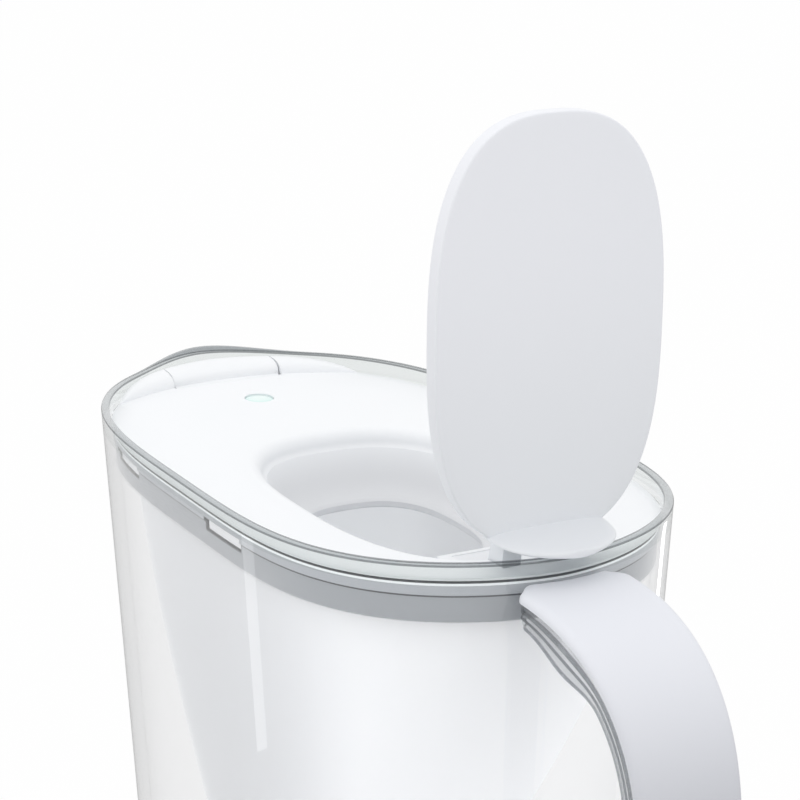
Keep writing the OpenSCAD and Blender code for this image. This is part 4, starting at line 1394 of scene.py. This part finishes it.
# ---- Funnel ----
@dataclass
class Funnel:
    """Pale hopper: a collar with snap windows, a shelf with pour slots and a bowl over the cartridge seat."""

    form: Form
    lip_h: float = 3.4
    collar_wall: float = 2
    step: float = 0.5
    wall: float = 1.8
    shelf_w: float = 8
    spout_extra: float = 4.5
    weir_h: float = 3.1
    weir_low: float = 0.2
    weir_from: float = 0.5
    weir_fade: float = 25
    seat: float = 126
    socket_r: float = 31
    bow: float = 1.35
    bowl_steps: int = 15
    throat_h: float = 20
    throat_r: float = 24.4
    seat_t: float = 2.6
    window_l: float = 20
    window_h: float = 3.3
    window_drop: float = 0.5
    windows: tuple[float, float] = (23, -43)
    slot_w: float = 9
    slot_l: float = 4.2
    slot_pitch: float = 11
    slot_bow: float = 0.9
    edge: float = 0.25

    @property
    def inset(self) -> float:
        """Inset of the collar's lip."""
        return self.form.rim_wall + self.form.rim_gap + (self.form.collar_drop + self.lip_h) * self.form.slope

    @property
    def window_z(self) -> float:
        """Middle of the snap windows."""
        return self.form.collar_top - self.lip_h - self.window_drop

    def bowl(self, share: float, inset: float) -> Array:
        """Outline of the bowl at a share of the way from shelf to seat.

        Args:
            share: the share of the way.
            inset: how far inside the outer face it lies.

        Returns:
            The points as rows of x and y.
        """
        form = self.form
        wide = outline(
            form.handle_end - self.shelf_w - inset, form.spout_end - self.shelf_w - self.spout_extra - inset,
            form.half_w - self.shelf_w - inset, form.squares)
        return mixed(wide, self.circle(self.socket_r - inset), share)

    def circle(self, radius: float) -> Array:
        """A circle round the cartridge's axis."""
        return np.column_stack([np.cos(AROUND), np.sin(AROUND)]) * radius - [self.form.socket_offset, 0]

    def bowl_ring(self, f: float, inset: float, lift_z: float = 0) -> Array:
        """The bowl's ring at a share of its height."""
        z = self.form.ledge - (self.form.ledge - self.seat) * f
        return lift(self.bowl(f ** self.bow, inset), z + lift_z)

    def weir(self, inset: float, drop: float) -> Array:
        """Top of the weir, which stands up at the spout and fades out along the sides.

        Args:
            inset: how far inside the bowl's outer face it lies.
            drop: how far under the top it lies.

        Returns:
            The ring.
        """
        flat = self.bowl(0, inset)
        rise = smoothstep((-flat[:, 0] - self.form.spout_end * self.weir_from) / self.weir_fade)
        return lift(flat, self.form.shelf + self.weir_low + (self.weir_h - self.weir_low) * rise - drop)

    def rings(self) -> list[Array]:
        """Rings down the outside, through the throat and up the inside.

        Returns:
            The rings.
        """
        form, top, ledge, edge = self.form, self.form.collar_top, self.form.ledge, self.edge
        face, inner, lip_z = self.inset + self.step, self.inset + self.collar_wall, top - self.lip_h
        socket_r, seat, seat_z = self.socket_r, self.seat, self.seat - self.seat_t
        pipe_r, pipe_z = self.throat_r + self.wall, self.seat - self.throat_h
        steps = np.linspace(0, 1, self.bowl_steps)[1:-1]
        outer = [
            form.rim_ring(self.inset + edge, top), form.rim_ring(self.inset, top - edge),
            form.rim_ring(self.inset, lip_z + edge), form.rim_ring(self.inset + edge, lip_z),
            form.rim_ring(face, lip_z - 0.05), form.rim_ring(face, ledge + 0.3),
            form.rim_ring(face + 0.3, ledge), lift(self.bowl(0, -0.6), ledge),
            lift(self.bowl(0, 0), ledge - 0.6)]
        throat = [lift(self.circle(radius), z) for radius, z in (
            (socket_r, seat - 1.2), (socket_r - 1, seat - 2.3), (pipe_r + 1, seat_z), (pipe_r, seat_z - 1),
            (pipe_r, pipe_z + edge), (pipe_r - edge, pipe_z), (self.throat_r + edge, pipe_z),
            (self.throat_r, pipe_z + edge), (self.throat_r, seat - edge), (self.throat_r + edge, seat),
            (socket_r - self.wall - 1, seat), (socket_r - self.wall, seat + 0.8))]
        shelf = [
            lift(self.bowl(0, self.wall), form.shelf), self.weir(self.wall, 0.3),
            self.weir(self.wall - 0.3, 0), self.weir(0.3, 0), self.weir(0, 0.3),
            lift(self.bowl(0, 0), form.shelf + 0.4), lift(self.bowl(0, -0.4), form.shelf),
            form.rim_ring(inner + 0.9, form.shelf),
            form.rim_ring(inner + 0.3, form.shelf + 0.6), form.rim_ring(inner, top - edge),
            form.rim_ring(inner - edge, top)]
        return (outer + [self.bowl_ring(f, 0) for f in steps] + throat
                + [self.bowl_ring(f, self.wall, 0.6) for f in steps[::-1]] + shelf)

    def build(self) -> None:
        """Models the funnel, its windows and its pour slots."""
        form = self.form
        funnel = loft("funnel_pale", self.rings(), Ends.TUBE)
        for x in self.windows:
            for side in (-1, 1):
                y = side * form.side_y(x, self.inset + self.collar_wall)
                low = (x - self.window_l / 2, y - 4, self.window_z - self.window_h / 2)
                high = (x + self.window_l / 2, y + 4, self.window_z + self.window_h / 2)
                combine(funnel, box_piece("window", low, high), "DIFFERENCE")
        middle = self.shelf_w + self.spout_extra - form.spout_end - self.slot_l / 2 - self.slot_bow
        for i in (-1, 0, 1):
            x, y = middle + abs(i) * self.slot_bow, i * self.slot_pitch
            low = (x - self.slot_l / 2, y - self.slot_w / 2, form.ledge - 1)
            high = (x + self.slot_l / 2, y + self.slot_w / 2, form.ledge + 4)
            combine(funnel, box_piece("slot", low, high), "DIFFERENCE")
        hand_over(funnel, "insert_body", "funnel", PALE)


# ---- Lid ----
@dataclass
class Lid:
    """White cover: flat deck, crest behind the beak, dished recess with the filling hole, pocket and lugs."""

    form: Form
    funnel: Funnel
    thick: float = 2.2
    skirt_h: float = 7
    skirt_gap: float = 0.4
    skirt_wall: float = 1.6
    skirt_edge: float = 0.3
    wall_foot: float = 0.12
    wall_lip: Profile = ((0, 0.28), (0.07, 0.09), (0.28, 0))
    deck_steps: int = 10
    recess_edge: float = 3.4
    recess_foot: Profile = ((0.12, 0.85), (0.45, 0.4), (1.2, 0))
    hole_drop: float = 20.3
    hole_half_l: float = 26.9
    hole_half_w: float = 19.1
    hole_offset: float = 10
    hole_edge: float = 0.4
    dish_bow: float = 1.9
    dish_rise: float = 0.5
    dish_foot: float = 1.2
    dish_steps: int = 18
    seat_gap: float = 0.3
    pocket_gap: float = 0.45
    pocket_wall: float = 1.5
    pocket_rim: float = 1.1
    trough_gap: float = 0.35
    bearing: float = 3.2
    spout_half: float = 17.2
    barrel_r: float = 1.6
    flap_bore_r: float = 0.9
    flap_pin_l: float = 2
    boss_end: float = 1.4
    boss_half: float = 1.8
    boss_h: tuple[float, float] = (2, 1.2)
    barrel_gap: float = 0.3
    lens_x: float = -69
    lens_l: float = 8.3
    lens_w: float = 9.5
    seam: float = 0.35
    lug_share: float = 0.55
    lug_play: float = 0.9
    lug_end_play: float = 1
    lug_depth: float = 6
    crest_half: float = 37.8
    crest_sections: int = 61
    pin_play: float = 0.1
    past: float = 10

    @property
    def skirt_inset(self) -> float:
        """Inset of the skirt that plugs into the collar."""
        return self.funnel.inset + self.funnel.collar_wall + self.skirt_gap

    @property
    def seat_z(self) -> float:
        """Height of the ledge that the closed flip lid rests on."""
        return self.form.closed_z - self.form.flip_t - self.seat_gap

    @property
    def flap_axis(self) -> tuple[float, float]:
        """Place and height of the spout flap's axis."""
        x = self.form.crest_foot(0) + 1.6
        return x, self.form.deck_z(x, 0) - 0.1 - self.barrel_r

    def hole(self, more: float) -> Array:
        """Outline of the filling hole.

        Args:
            more: how far outside the hole's wall it lies.

        Returns:
            The points as rows of x and y.
        """
        half_l, half_w = self.hole_half_l + more, self.hole_half_w + more
        flat = outline(half_l, half_l, half_w, (self.form.flip_square,) * 3)
        return flat + [self.form.flip_mid - self.hole_offset, 0]

    def dish(self, top: Array, s: float, drop: float) -> Array:
        """A ring of the dished wall between recess and hole.

        Args:
            top: outline at the recess's foot.
            s: share of the way down to the hole.
            drop: how far under the wall's face the ring lies.

        Returns:
            The ring.
        """
        low_z = self.form.jug_h - self.hole_drop + self.dish_rise
        z = low_z + (self.seat_z - low_z) * (1 - s) ** self.dish_bow
        return lift(mixed(top, self.hole(self.dish_foot), s), z - drop)

    def rings(self) -> list[Array]:
        """Rings from the outer wall over the deck, through the hole and back underneath.

        Returns:
            The rings.
        """
        form, edge, start, thick = self.form, self.recess_edge, self.form.lid_inset, self.thick
        base = form.collar_top + self.seam
        hole_z = form.jug_h - self.hole_drop
        turns = np.radians(np.linspace(0, 90, ARC_STEPS))
        foot, deck_start = self.wall_foot, form.rim(start + self.wall_lip[-1][0])
        rings = [form.rim_ring(start + foot, base), form.rim_ring(start, base + foot)]
        rings += [form.on_lid(form.rim(start + i), d) for i, d in self.wall_lip]
        rings += [form.on_lid(mixed(deck_start, form.recess(edge), s), 0)
                  for s in np.linspace(0, 1, self.deck_steps)[1:]]
        rings += [form.on_lid(form.recess(edge * (1 - math.sin(a))), edge * (1 - math.cos(a)))
                  for a in turns[1:]]
        rings += [lift(form.recess(-i), self.seat_z + z) for i, z in self.recess_foot]
        dish_top, lip = form.recess(-self.recess_foot[-1][0]), self.hole_edge
        rings += [self.dish(dish_top, s, 0) for s in np.linspace(0, 1, self.dish_steps)[1:]]
        rings += [lift(self.hole(lip), hole_z + 0.18), lift(self.hole(0), hole_z - 0.3)]
        rings += [lift(self.hole(0), hole_z - thick + 0.6), lift(self.hole(lip), hole_z - thick + 0.1)]
        rings += [self.dish(form.recess(1), s, thick) for s in np.linspace(1, 0.06, 14)]
        rings += [lift(form.recess(1.6), self.seat_z - thick + 0.8)]
        inner, skirt_z = self.skirt_inset + self.skirt_wall, form.collar_top - self.skirt_h
        rings += [form.on_lid(mixed(form.recess(edge + 0.6), form.rim(inner + 0.6), s), thick + 0.4 * (1 - s))
                  for s in np.linspace(0, 1, 6)]
        rings += [form.on_lid(form.rim(inner), thick + 0.6)]
        outer, tip = self.skirt_inset, self.skirt_edge
        rings += [form.rim_ring(inner, skirt_z + tip), form.rim_ring(inner - tip, skirt_z)]
        rings += [form.rim_ring(outer + tip, skirt_z), form.rim_ring(outer, skirt_z + tip)]
        return rings + [form.rim_ring(outer, base)]

    def crest(self) -> bpy.types.Object:
        """The crescent bank behind the beak, higher than the deck and lower towards its ends.

        Returns:
            The bank.
        """
        form, floor = self.form, self.form.collar_top + self.seam + 0.1
        rings = []
        for y in np.linspace(-self.crest_half, self.crest_half, self.crest_sections):
            foot = form.crest_foot(y)
            bank = form.crest_bank(y, form.lid_inset + 0.08, foot)
            rings.append(np.array([(bank[0][0], y, floor), *bank, (foot, y, floor)]))
        return loft("crest", rings, Ends.CAPS)

    def pocket_hull(self, name: str, grow: float, half: float) -> bpy.types.Object:
        """The rounded block in which the hinge ears turn.

        Args:
            name: the piece's name.
            grow: how much larger than the ears it is.
            half: half of its width.

        Returns:
            The block.
        """
        form = self.form
        x, z = form.hinge
        root = x - form.hinge_drop - 2 * form.ear_root
        low = form.closed_z - form.flip_t - grow
        return hull_of(name, [
            rod_y("a", x, z, form.ear_r + grow, half),
            box_piece("b", (root - grow, -half, low), (root - grow + form.ear_root, half, low + 2)),
            box_piece("c", (form.flip_face_x - 4, -half, form.jug_h - 3),
                      (form.flip_face_x + 0.2 + grow, half, form.jug_h - 1))])

    def add_pocket(self, lid: bpy.types.Object) -> None:
        """Adds the hinge pocket with its thicker cheeks and cuts the room for the ears.

        Args:
            lid: the lid.
        """
        form, gap = self.form, self.pocket_gap
        x, z = form.hinge
        half = form.ears_half_w + gap
        root = x - form.hinge_drop - 2 * form.ear_root
        top = z + form.hinge_pin_r + self.pocket_rim
        end = form.flip_face_x + 4
        shell = self.pocket_hull("pocket", gap + self.pocket_wall, half + self.bearing)
        trough = half + self.trough_gap
        limits = box_piece("trough", (root - self.past, -trough, z - 8), (end, trough, top))
        cheeks = box_piece("cheeks", (root - self.past, -form.half_w, form.shelf + 0.3),
                           (end, form.half_w, top))
        combine(limits, cheeks, "UNION")
        combine(shell, limits, "INTERSECT")
        combine(lid, shell, "UNION")
        combine(lid, self.pocket_hull("room", gap, half), "DIFFERENCE")
        above, wide = form.jug_h + self.past, half + self.bearing + 1
        way = box_piece("way", (root, -half, form.jug_h - 3), (form.flip_face_x, half, above - 1))
        combine(lid, way, "DIFFERENCE")
        rest_end = x - form.hinge_drop + form.flip_gap
        rest = box_piece("rest", (root - self.past, -wide, self.seat_z), (rest_end, wide, above))
        combine(lid, rest, "DIFFERENCE")
        combine(lid, rod_y("bore", x, z, form.hinge_pin_r + self.pin_play, wide), "DIFFERENCE")

    def add_spout_opening(self, lid: bpy.types.Object) -> None:
        """Adds the flap's bosses and cuts its opening.

        Args:
            lid: the lid.
        """
        form = self.form
        x, z = self.flap_axis
        long, half, (down, up) = self.flap_pin_l + self.boss_end, self.boss_half, self.boss_h
        for side in (-1, 1):
            y = side * (self.spout_half + long / 2)
            boss = box_piece("boss", (x - half, y - long / 2, z - down), (x + half, y + long / 2, z + up))
            combine(lid, boss, "UNION")
        low = (-form.spout_end - 5, -self.spout_half, form.collar_top - self.skirt_h - 1)
        high = (x + self.barrel_r + self.barrel_gap, self.spout_half, form.jug_h + 5)
        combine(lid, box_piece("opening", low, high), "DIFFERENCE")
        bore = rod_y("bore", x, z, self.flap_bore_r, self.spout_half + self.flap_pin_l + 0.3)
        combine(lid, bore, "DIFFERENCE")

    def add_lugs(self, lid: bpy.types.Object) -> None:
        """Adds the snap lugs that look through the collar's windows.

        Args:
            lid: the lid.
        """
        form, funnel = self.form, self.funnel
        reach = self.skirt_gap + funnel.collar_wall * self.lug_share
        high = (funnel.window_h - self.lug_play) / 2
        for x in funnel.windows:
            for side in (-1, 1):
                inner = side * form.side_y(x, self.skirt_inset + self.skirt_wall)
                y = sorted((inner, inner + side * self.lug_depth))
                half = funnel.window_l / 2 - self.lug_end_play
                lug = box_piece("lug", (x - half, y[0], funnel.window_z - high),
                                (x + half, y[1], funnel.window_z + high))
                face = loft("face", [form.rim_ring(self.skirt_inset - reach, funnel.window_z + d * 5)
                                     for d in (-1, 1)], Ends.CAPS)
                combine(lug, face, "INTERSECT")
                combine(lid, lug, "UNION")

    def build(self) -> None:
        """Models the lid."""
        form = self.form
        lid = loft("lid_white", self.rings(), Ends.TUBE)
        combine(lid, self.crest(), "UNION")
        self.add_pocket(lid)
        self.add_spout_opening(lid)
        self.add_lugs(lid)
        sizes = [(self.lens_w / 2, self.lens_l / 2, z) for z in (form.jug_h - 20, form.jug_h + 10)]
        combine(lid, loft("oval", oval_rings(self.lens_x, sizes), Ends.CAPS), "DIFFERENCE")
        hand_over(lid, "insert_body", "lid", WHITE)


@dataclass
class SpoutFlap:
    """The stretch of the upstand between the two slits, hinged to let the water out."""

    form: Form
    lid: Lid
    gap: float = 0.4
    wall: float = 2
    pin_r: float = 0.8
    sections: int = 29

    def build(self) -> None:
        """Models the flap with its barrel and stubs."""
        form, lid = self.form, self.lid
        axis_x, axis_z = lid.flap_axis
        deck, top, floor = form.deck_z(axis_x, 0), form.jug_h - form.lid_drop, form.collar_top + lid.seam
        half = lid.spout_half - self.gap
        rings = []
        for y in np.linspace(-half, half, self.sections):
            foot = min(form.crest_foot(y), axis_x - 0.1)
            bank = form.crest_bank(y, form.lid_inset + 0.1, foot)
            out = bank[0][0]
            inner = out + self.wall
            under = [(axis_x, deck - 0.1), (axis_x, deck - 2), (foot - 1.2, deck - 1.4),
                     (foot - 2.4, deck + 0.2), (inner + 0.8, top - 2), (inner, top - 2.6),
                     (inner, floor), (out, floor)]
            rings.append(np.array([*bank, *((x, y, z) for x, z in under)]))
        flap = loft("spout_flap_white", rings, Ends.CAPS)
        combine(flap, rod_y("barrel", axis_x, axis_z, lid.barrel_r, half - 0.3), "UNION")
        combine(flap, rod_y("stubs", axis_x, axis_z, self.pin_r, half + lid.flap_pin_l), "UNION")
        hand_over(flap, "flap_body", "spout_flap", WHITE)


@dataclass
class FlipLid:
    """Filling lid: a long oval plate with hinge ears below and a thumb tab on its face."""

    form: Form
    ear_w: float = 5
    pin_l: float = 2.4
    edge_r: float = 0.5
    back_dish: Profile = ((7, 0.5), (5.4, 0.1), (4.6, 0))
    face_dish: Profile = ((2.6, 0.02), (5, 0.05), (9, 0.06))
    tab_reach: float = 15
    tab_w: float = 31
    tab_t: float = 3
    tab_z: float = 3
    tab_square: float = 2.8
    tab_sides: float = 0.6
    tab_crowding: float = 1.6
    tab_taper: float = 0.45
    tab_tip: float = 0.5
    tab_blunt: float = 0.6
    tab_dip: float = 0.35
    tab_fall: float = 1.2
    tab_curl: float = 0.8

    def plate_ring(self, inset: float, depth: float) -> Array:
        """Outline of the plate at a depth behind its face.

        Args:
            inset: how far inside the edge it lies.
            depth: its depth.

        Returns:
            The ring, for a plate that stands at the origin.
        """
        form = self.form
        half = form.flip_l / 2 - inset
        flat = outline(half, half, form.flip_w / 2 - inset, (form.flip_square,) * 3)
        return np.column_stack([np.full(len(flat), -depth), -flat[:, 1], form.flip_l / 2 + flat[:, 0]])

    def plate_rings(self) -> list[Array]:
        """Rings from the back of the plate over its edge to the face.

        Returns:
            The rings.
        """
        t, round_r = self.form.flip_t, self.edge_r
        turns = np.radians(np.linspace(0, 90, 7))
        back = [(round_r * (1 - math.sin(a)), t - round_r * (1 - math.cos(a))) for a in turns]
        face = [(round_r * (1 - math.cos(a)), round_r * (1 - math.sin(a))) for a in turns]
        rings = [self.plate_ring(i, t - d) for i, d in self.back_dish]
        rings += [self.plate_ring(i, d) for i, d in back]
        rings += [self.plate_ring(i, d) for i, d in face]
        return rings + [self.plate_ring(i, d) for i, d in self.face_dish]

    def tab_rings(self) -> list[Array]:
        """Flat ovals out to the tip of the thumb tab.

        Returns:
            The rings.
        """
        t = self.form.flip_t
        a = np.radians(np.linspace(0, 360, ROD_SIDES, endpoint=False))
        rings = []
        for u in 1 - (1 - np.linspace(0, 1, 20)) ** self.tab_crowding:
            half = max(self.tab_tip, self.tab_w / 2 * math.sqrt(1 - u ** self.tab_square))
            thick = self.tab_t / 2 * (1 - self.tab_taper * u ** 3) * (1 if u < 1 else self.tab_blunt)
            y = np.sign(np.cos(a)) * half * np.abs(np.cos(a)) ** self.tab_sides
            middle = self.tab_z - self.tab_dip * math.sin(math.pi * u) - self.tab_fall * u
            z = middle + thick * np.sin(a) + self.tab_curl * (y / (self.tab_w / 2)) ** 2 * u
            x = -t / 2 + (self.tab_reach + t / 2) * u
            rings.append(np.column_stack([np.full(len(a), x), y, z]))
        return rings

    def build(self) -> None:
        """Models the plate, ears and tab, and stands them up."""
        form = self.form
        flip = loft("flip_lid_lilac", self.plate_rings(), Ends.CAPS)
        for side in (-1, 1):
            y = side * (form.ears_half_w - self.ear_w / 2)
            low = (-form.flip_t + 0.2, y - self.ear_w / 2, form.ear_root)
            high = (-0.2, y + self.ear_w / 2, 2 * form.ear_root)
            ear = hull_of("ear", [
                rod_y("a", -form.hinge_back, -form.hinge_drop, form.ear_r, self.ear_w / 2, y),
                box_piece("b", low, high)])
            combine(flip, ear, "UNION")
        combine(flip, rod_y("pin", -form.hinge_back, -form.hinge_drop, form.hinge_pin_r,
                            form.ears_half_w + self.pin_l), "UNION")
        combine(flip, loft("tab", self.tab_rings(), Ends.CAPS), "UNION")
        select_only(flip)
        flip.rotation_euler = (0, math.radians(form.flip_lean), 0)
        flip.location = Vector((form.flip_face_x, 0, form.jug_h + form.flip_rise)) * MM
        bpy.ops.object.transform_apply(location=True, rotation=True, scale=True)
        hand_over(flip, "flip_body", "flip_lid", LILAC)


@dataclass
class Indicator:
    """Lens over the filter indicator, which is also its button; the module under it shows its own meshes."""

    form: Form
    lid: Lid
    length: float = 8
    width: float = 9.2
    flange: float = 3
    flange_t: float = 1
    dome_h: float = 0.7

    def build(self) -> None:
        """Models the lens."""
        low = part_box("indicator_window")[0].z / MM
        top = self.form.deck_z(self.lid.lens_x, 0) + 0.1
        a, b, more, dome = self.width / 2, self.length / 2, self.flange / 2, self.dome_h
        sizes = [(a + more, b + more, low), (a + more, b + more, low + self.flange_t)]
        sizes += [(a, b, low + self.flange_t + 0.05), (a, b, top - dome)]
        sizes += [(a * k, b * k, top - dome + dome * math.sqrt(1 - k * k))
                  for k in (0.99, 0.95, 0.87, 0.7, 0.45, 0.2)]
        lens = loft("indicator_lens", oval_rings(self.lid.lens_x, sizes), Ends.CAPS)
        hand_over(lens, "button_body", "indicator_window", LENS)


NODE_FINISHES: dict[str, Finish] = {
    "indicator_housing": HOUSING, "indicator_cover": HOUSING, "indicator_board": BOARD, "indicator_led": LED,
    "coin_cell": STEEL, "cell_clip": BRASS, "indicator_seal": SEAL, "cartridge_cup": CARTRIDGE,
    "cartridge_cap": CARTRIDGE, "cartridge_gasket": GASKET, "cap_screen": SCREEN, "bottom_strainer": SCREEN,
    "filter_media": CARBON,
}


def dress_nodes() -> None:
    """Dresses the nodes whose own meshes are shown."""
    for name, finish in NODE_FINISHES.items():
        node = frame["nodes"][name]
        select_only(node)
        dress(node, finish)
        log.info("%s: dressed as %s", name, finish.name)


# ---- Studio ----
Place = tuple[float, float, float]


class LampRole(Enum):
    """What a lamp shows up in."""

    PLAIN = "everything"
    FILL = "diffuse light alone"
    HIGHLIGHT = "reflections alone"


@dataclass
class Studio:
    """Camera, floor, world and lamps, in metres, degrees and watts."""

    camera_at: tuple[float, float, float] = (0.49986, -0.25880, 0.43354)
    camera_turn: tuple[float, float, float] = (74.373, 0, 61.821)
    lens_mm: float = 101.24
    sensor_mm: float = 36
    near: float = 0.01
    floor_half: float = 12.0
    floor_colour: float = 0.72
    floor_grain: float = 0.03
    floor_roughness: float = 0.9
    horizon: tuple[float, float] = (-0.2, 0.9)
    sky_low: float = 0.76
    sky_high: float = 0.98
    top_lamp: float = 2.0
    front_lamp: float = 0.10
    side_lamp: float = 0.3
    side_strip: float = 0.006
    end_strip: float = 0.02
    seen_white: float = 0.98
    gloss_floor: float = 0.5

    def add_camera(self) -> None:
        """Places the camera."""
        data = bpy.data.cameras.new("camera")
        data.lens, data.sensor_width, data.clip_start = self.lens_mm, self.sensor_mm, self.near
        camera = bpy.data.objects.new("camera", data)
        camera.location = self.camera_at
        camera.rotation_euler = [math.radians(a) for a in self.camera_turn]
        bpy.context.scene.collection.objects.link(camera)
        bpy.context.scene.camera = camera

    def add_floor(self) -> None:
        """Lays the pale floor, which stays white to the eye but keeps the shadow."""
        bpy.ops.object.select_all(action="DESELECT")
        bpy.ops.mesh.primitive_plane_add(size=2 * self.floor_half)
        floor = bpy.context.object
        floor.name = "floor"
        sheet = Sheet("floor")
        grain = sheet.noise(60, 2)
        colour = sheet.mix(grain, (self.floor_colour,) * 3, (self.floor_colour + self.floor_grain,) * 3)
        matt = sheet.surface({
            "Base Color": colour, "Roughness": self.floor_roughness, "Specular IOR Level": 0.0})
        through = sheet.add("ShaderNodeLightPath", output="Is Transmission Ray")
        in_gloss = sheet.add("ShaderNodeLightPath", output="Is Glossy Ray") * (1.0 - through)
        glow = sheet.add("ShaderNodeEmission", sockets={
            "Color": (1.0, 1.0, 1.0), "Strength": 1.0 - in_gloss * (1.0 - self.gloss_floor)})
        share = self.seen_share(sheet) * self.seen_white
        seen = sheet.add("ShaderNodeMixShader", sockets={0: share, 1: matt, 2: glow})
        floor.data.materials.append(sheet.finish(seen))

    @staticmethod
    def seen_share(sheet: Sheet) -> Signal:
        """Tells rays from the eye, off gloss and through clear plastic from those of the light.

        Args:
            sheet: the node tree.

        Returns:
            1 for such rays and 0 for the others.
        """
        total = None
        for ray in ("Is Camera Ray", "Is Glossy Ray", "Is Transmission Ray"):
            share = sheet.add("ShaderNodeLightPath", output=ray)
            total = share if total is None else sheet.add(
                "ShaderNodeMath", {"operation": "MAXIMUM"}, {0: total, 1: share})
        return total

    def add_world(self) -> None:
        """White to the eye; for the light on the object it is brighter overhead than at the sides."""
        world = bpy.data.worlds.new("world")
        bpy.context.scene.world = world
        sheet = Sheet(world)
        way = sheet.add("ShaderNodeTexCoord", output="Generated")
        height = sheet.add("ShaderNodeSeparateXYZ", sockets={0: way}, output="Z").eased(*self.horizon)
        sky = height * (self.sky_high - self.sky_low) + self.sky_low
        white = (1.0, 1.0, 1.0)
        seen = sheet.add("ShaderNodeBackground", sockets={"Color": white, "Strength": 1.0})
        light = sheet.add("ShaderNodeBackground", sockets={"Color": white, "Strength": sky})
        shader = sheet.add("ShaderNodeMixShader", sockets={0: self.seen_share(sheet), 1: light, 2: seen})
        sheet.add("ShaderNodeOutputWorld", sockets={"Surface": shader})

    def add_lamp(self, name: str, role: LampRole, at: Place, aim: Place, size: tuple[float, float],
                 watts: float) -> None:
        """Hangs a soft rectangular lamp.

        Args:
            name: the lamp's name.
            role: what it shows up in.
            at: its place in metres.
            aim: the point that it looks at.
            size: its two sides in metres.
            watts: its power.
        """
        data = bpy.data.lights.new(name, "AREA")
        data.shape, data.size, data.size_y, data.energy = "RECTANGLE", size[0], size[1], watts
        lamp = bpy.data.objects.new(name, data)
        lamp.location = at
        lamp.rotation_euler = (Vector(aim) - Vector(at)).to_track_quat("-Z", "Y").to_euler()
        lamp.visible_camera = lamp.visible_transmission = role is LampRole.PLAIN
        lamp.visible_diffuse = role is not LampRole.HIGHLIGHT
        lamp.visible_glossy = role is not LampRole.FILL
        bpy.context.scene.collection.objects.link(lamp)

    def build(self) -> None:
        """Sets up the whole studio."""
        bpy.context.scene.view_settings.view_transform = "Standard"
        self.add_camera()
        self.add_floor()
        self.add_world()
        self.add_lamp("top", LampRole.PLAIN, (-0.5, -0.2, 1.9), (0, 0, 0.2), (1.4, 1.4), self.top_lamp)
        self.add_lamp("front", LampRole.FILL, (0.38, -0.05, 0.52), (0.09, 0, 0.3), (0.3, 0.3),
                      self.front_lamp)
        self.add_lamp("side", LampRole.FILL, (-0.25, -0.55, 0.38), (0.06, 0, 0.3), (0.4, 0.4), self.side_lamp)
        self.add_lamp("side_strip", LampRole.HIGHLIGHT, (-0.181, -0.207, 0.109), (0, -0.08, 0.109),
                      (0.026, 0.09), self.side_strip)
        self.add_lamp("end_strip", LampRole.HIGHLIGHT, (-0.03, 0.286, 0.14), (0.05, 0.03, 0.14),
                      (0.03, 0.06), self.end_strip)


def main() -> None:
    """Builds the studio and every sub-assembly."""
    logging.basicConfig(level=logging.INFO, format="%(name)s: %(message)s")
    Studio().build()
    Jug(FORM).build()
    funnel = Funnel(FORM)
    funnel.build()
    lid = Lid(FORM, funnel)
    lid.build()
    SpoutFlap(FORM, lid).build()
    FlipLid(FORM).build()
    Indicator(FORM, lid).build()
    dress_nodes()


if __name__ == "__main__":
    main()
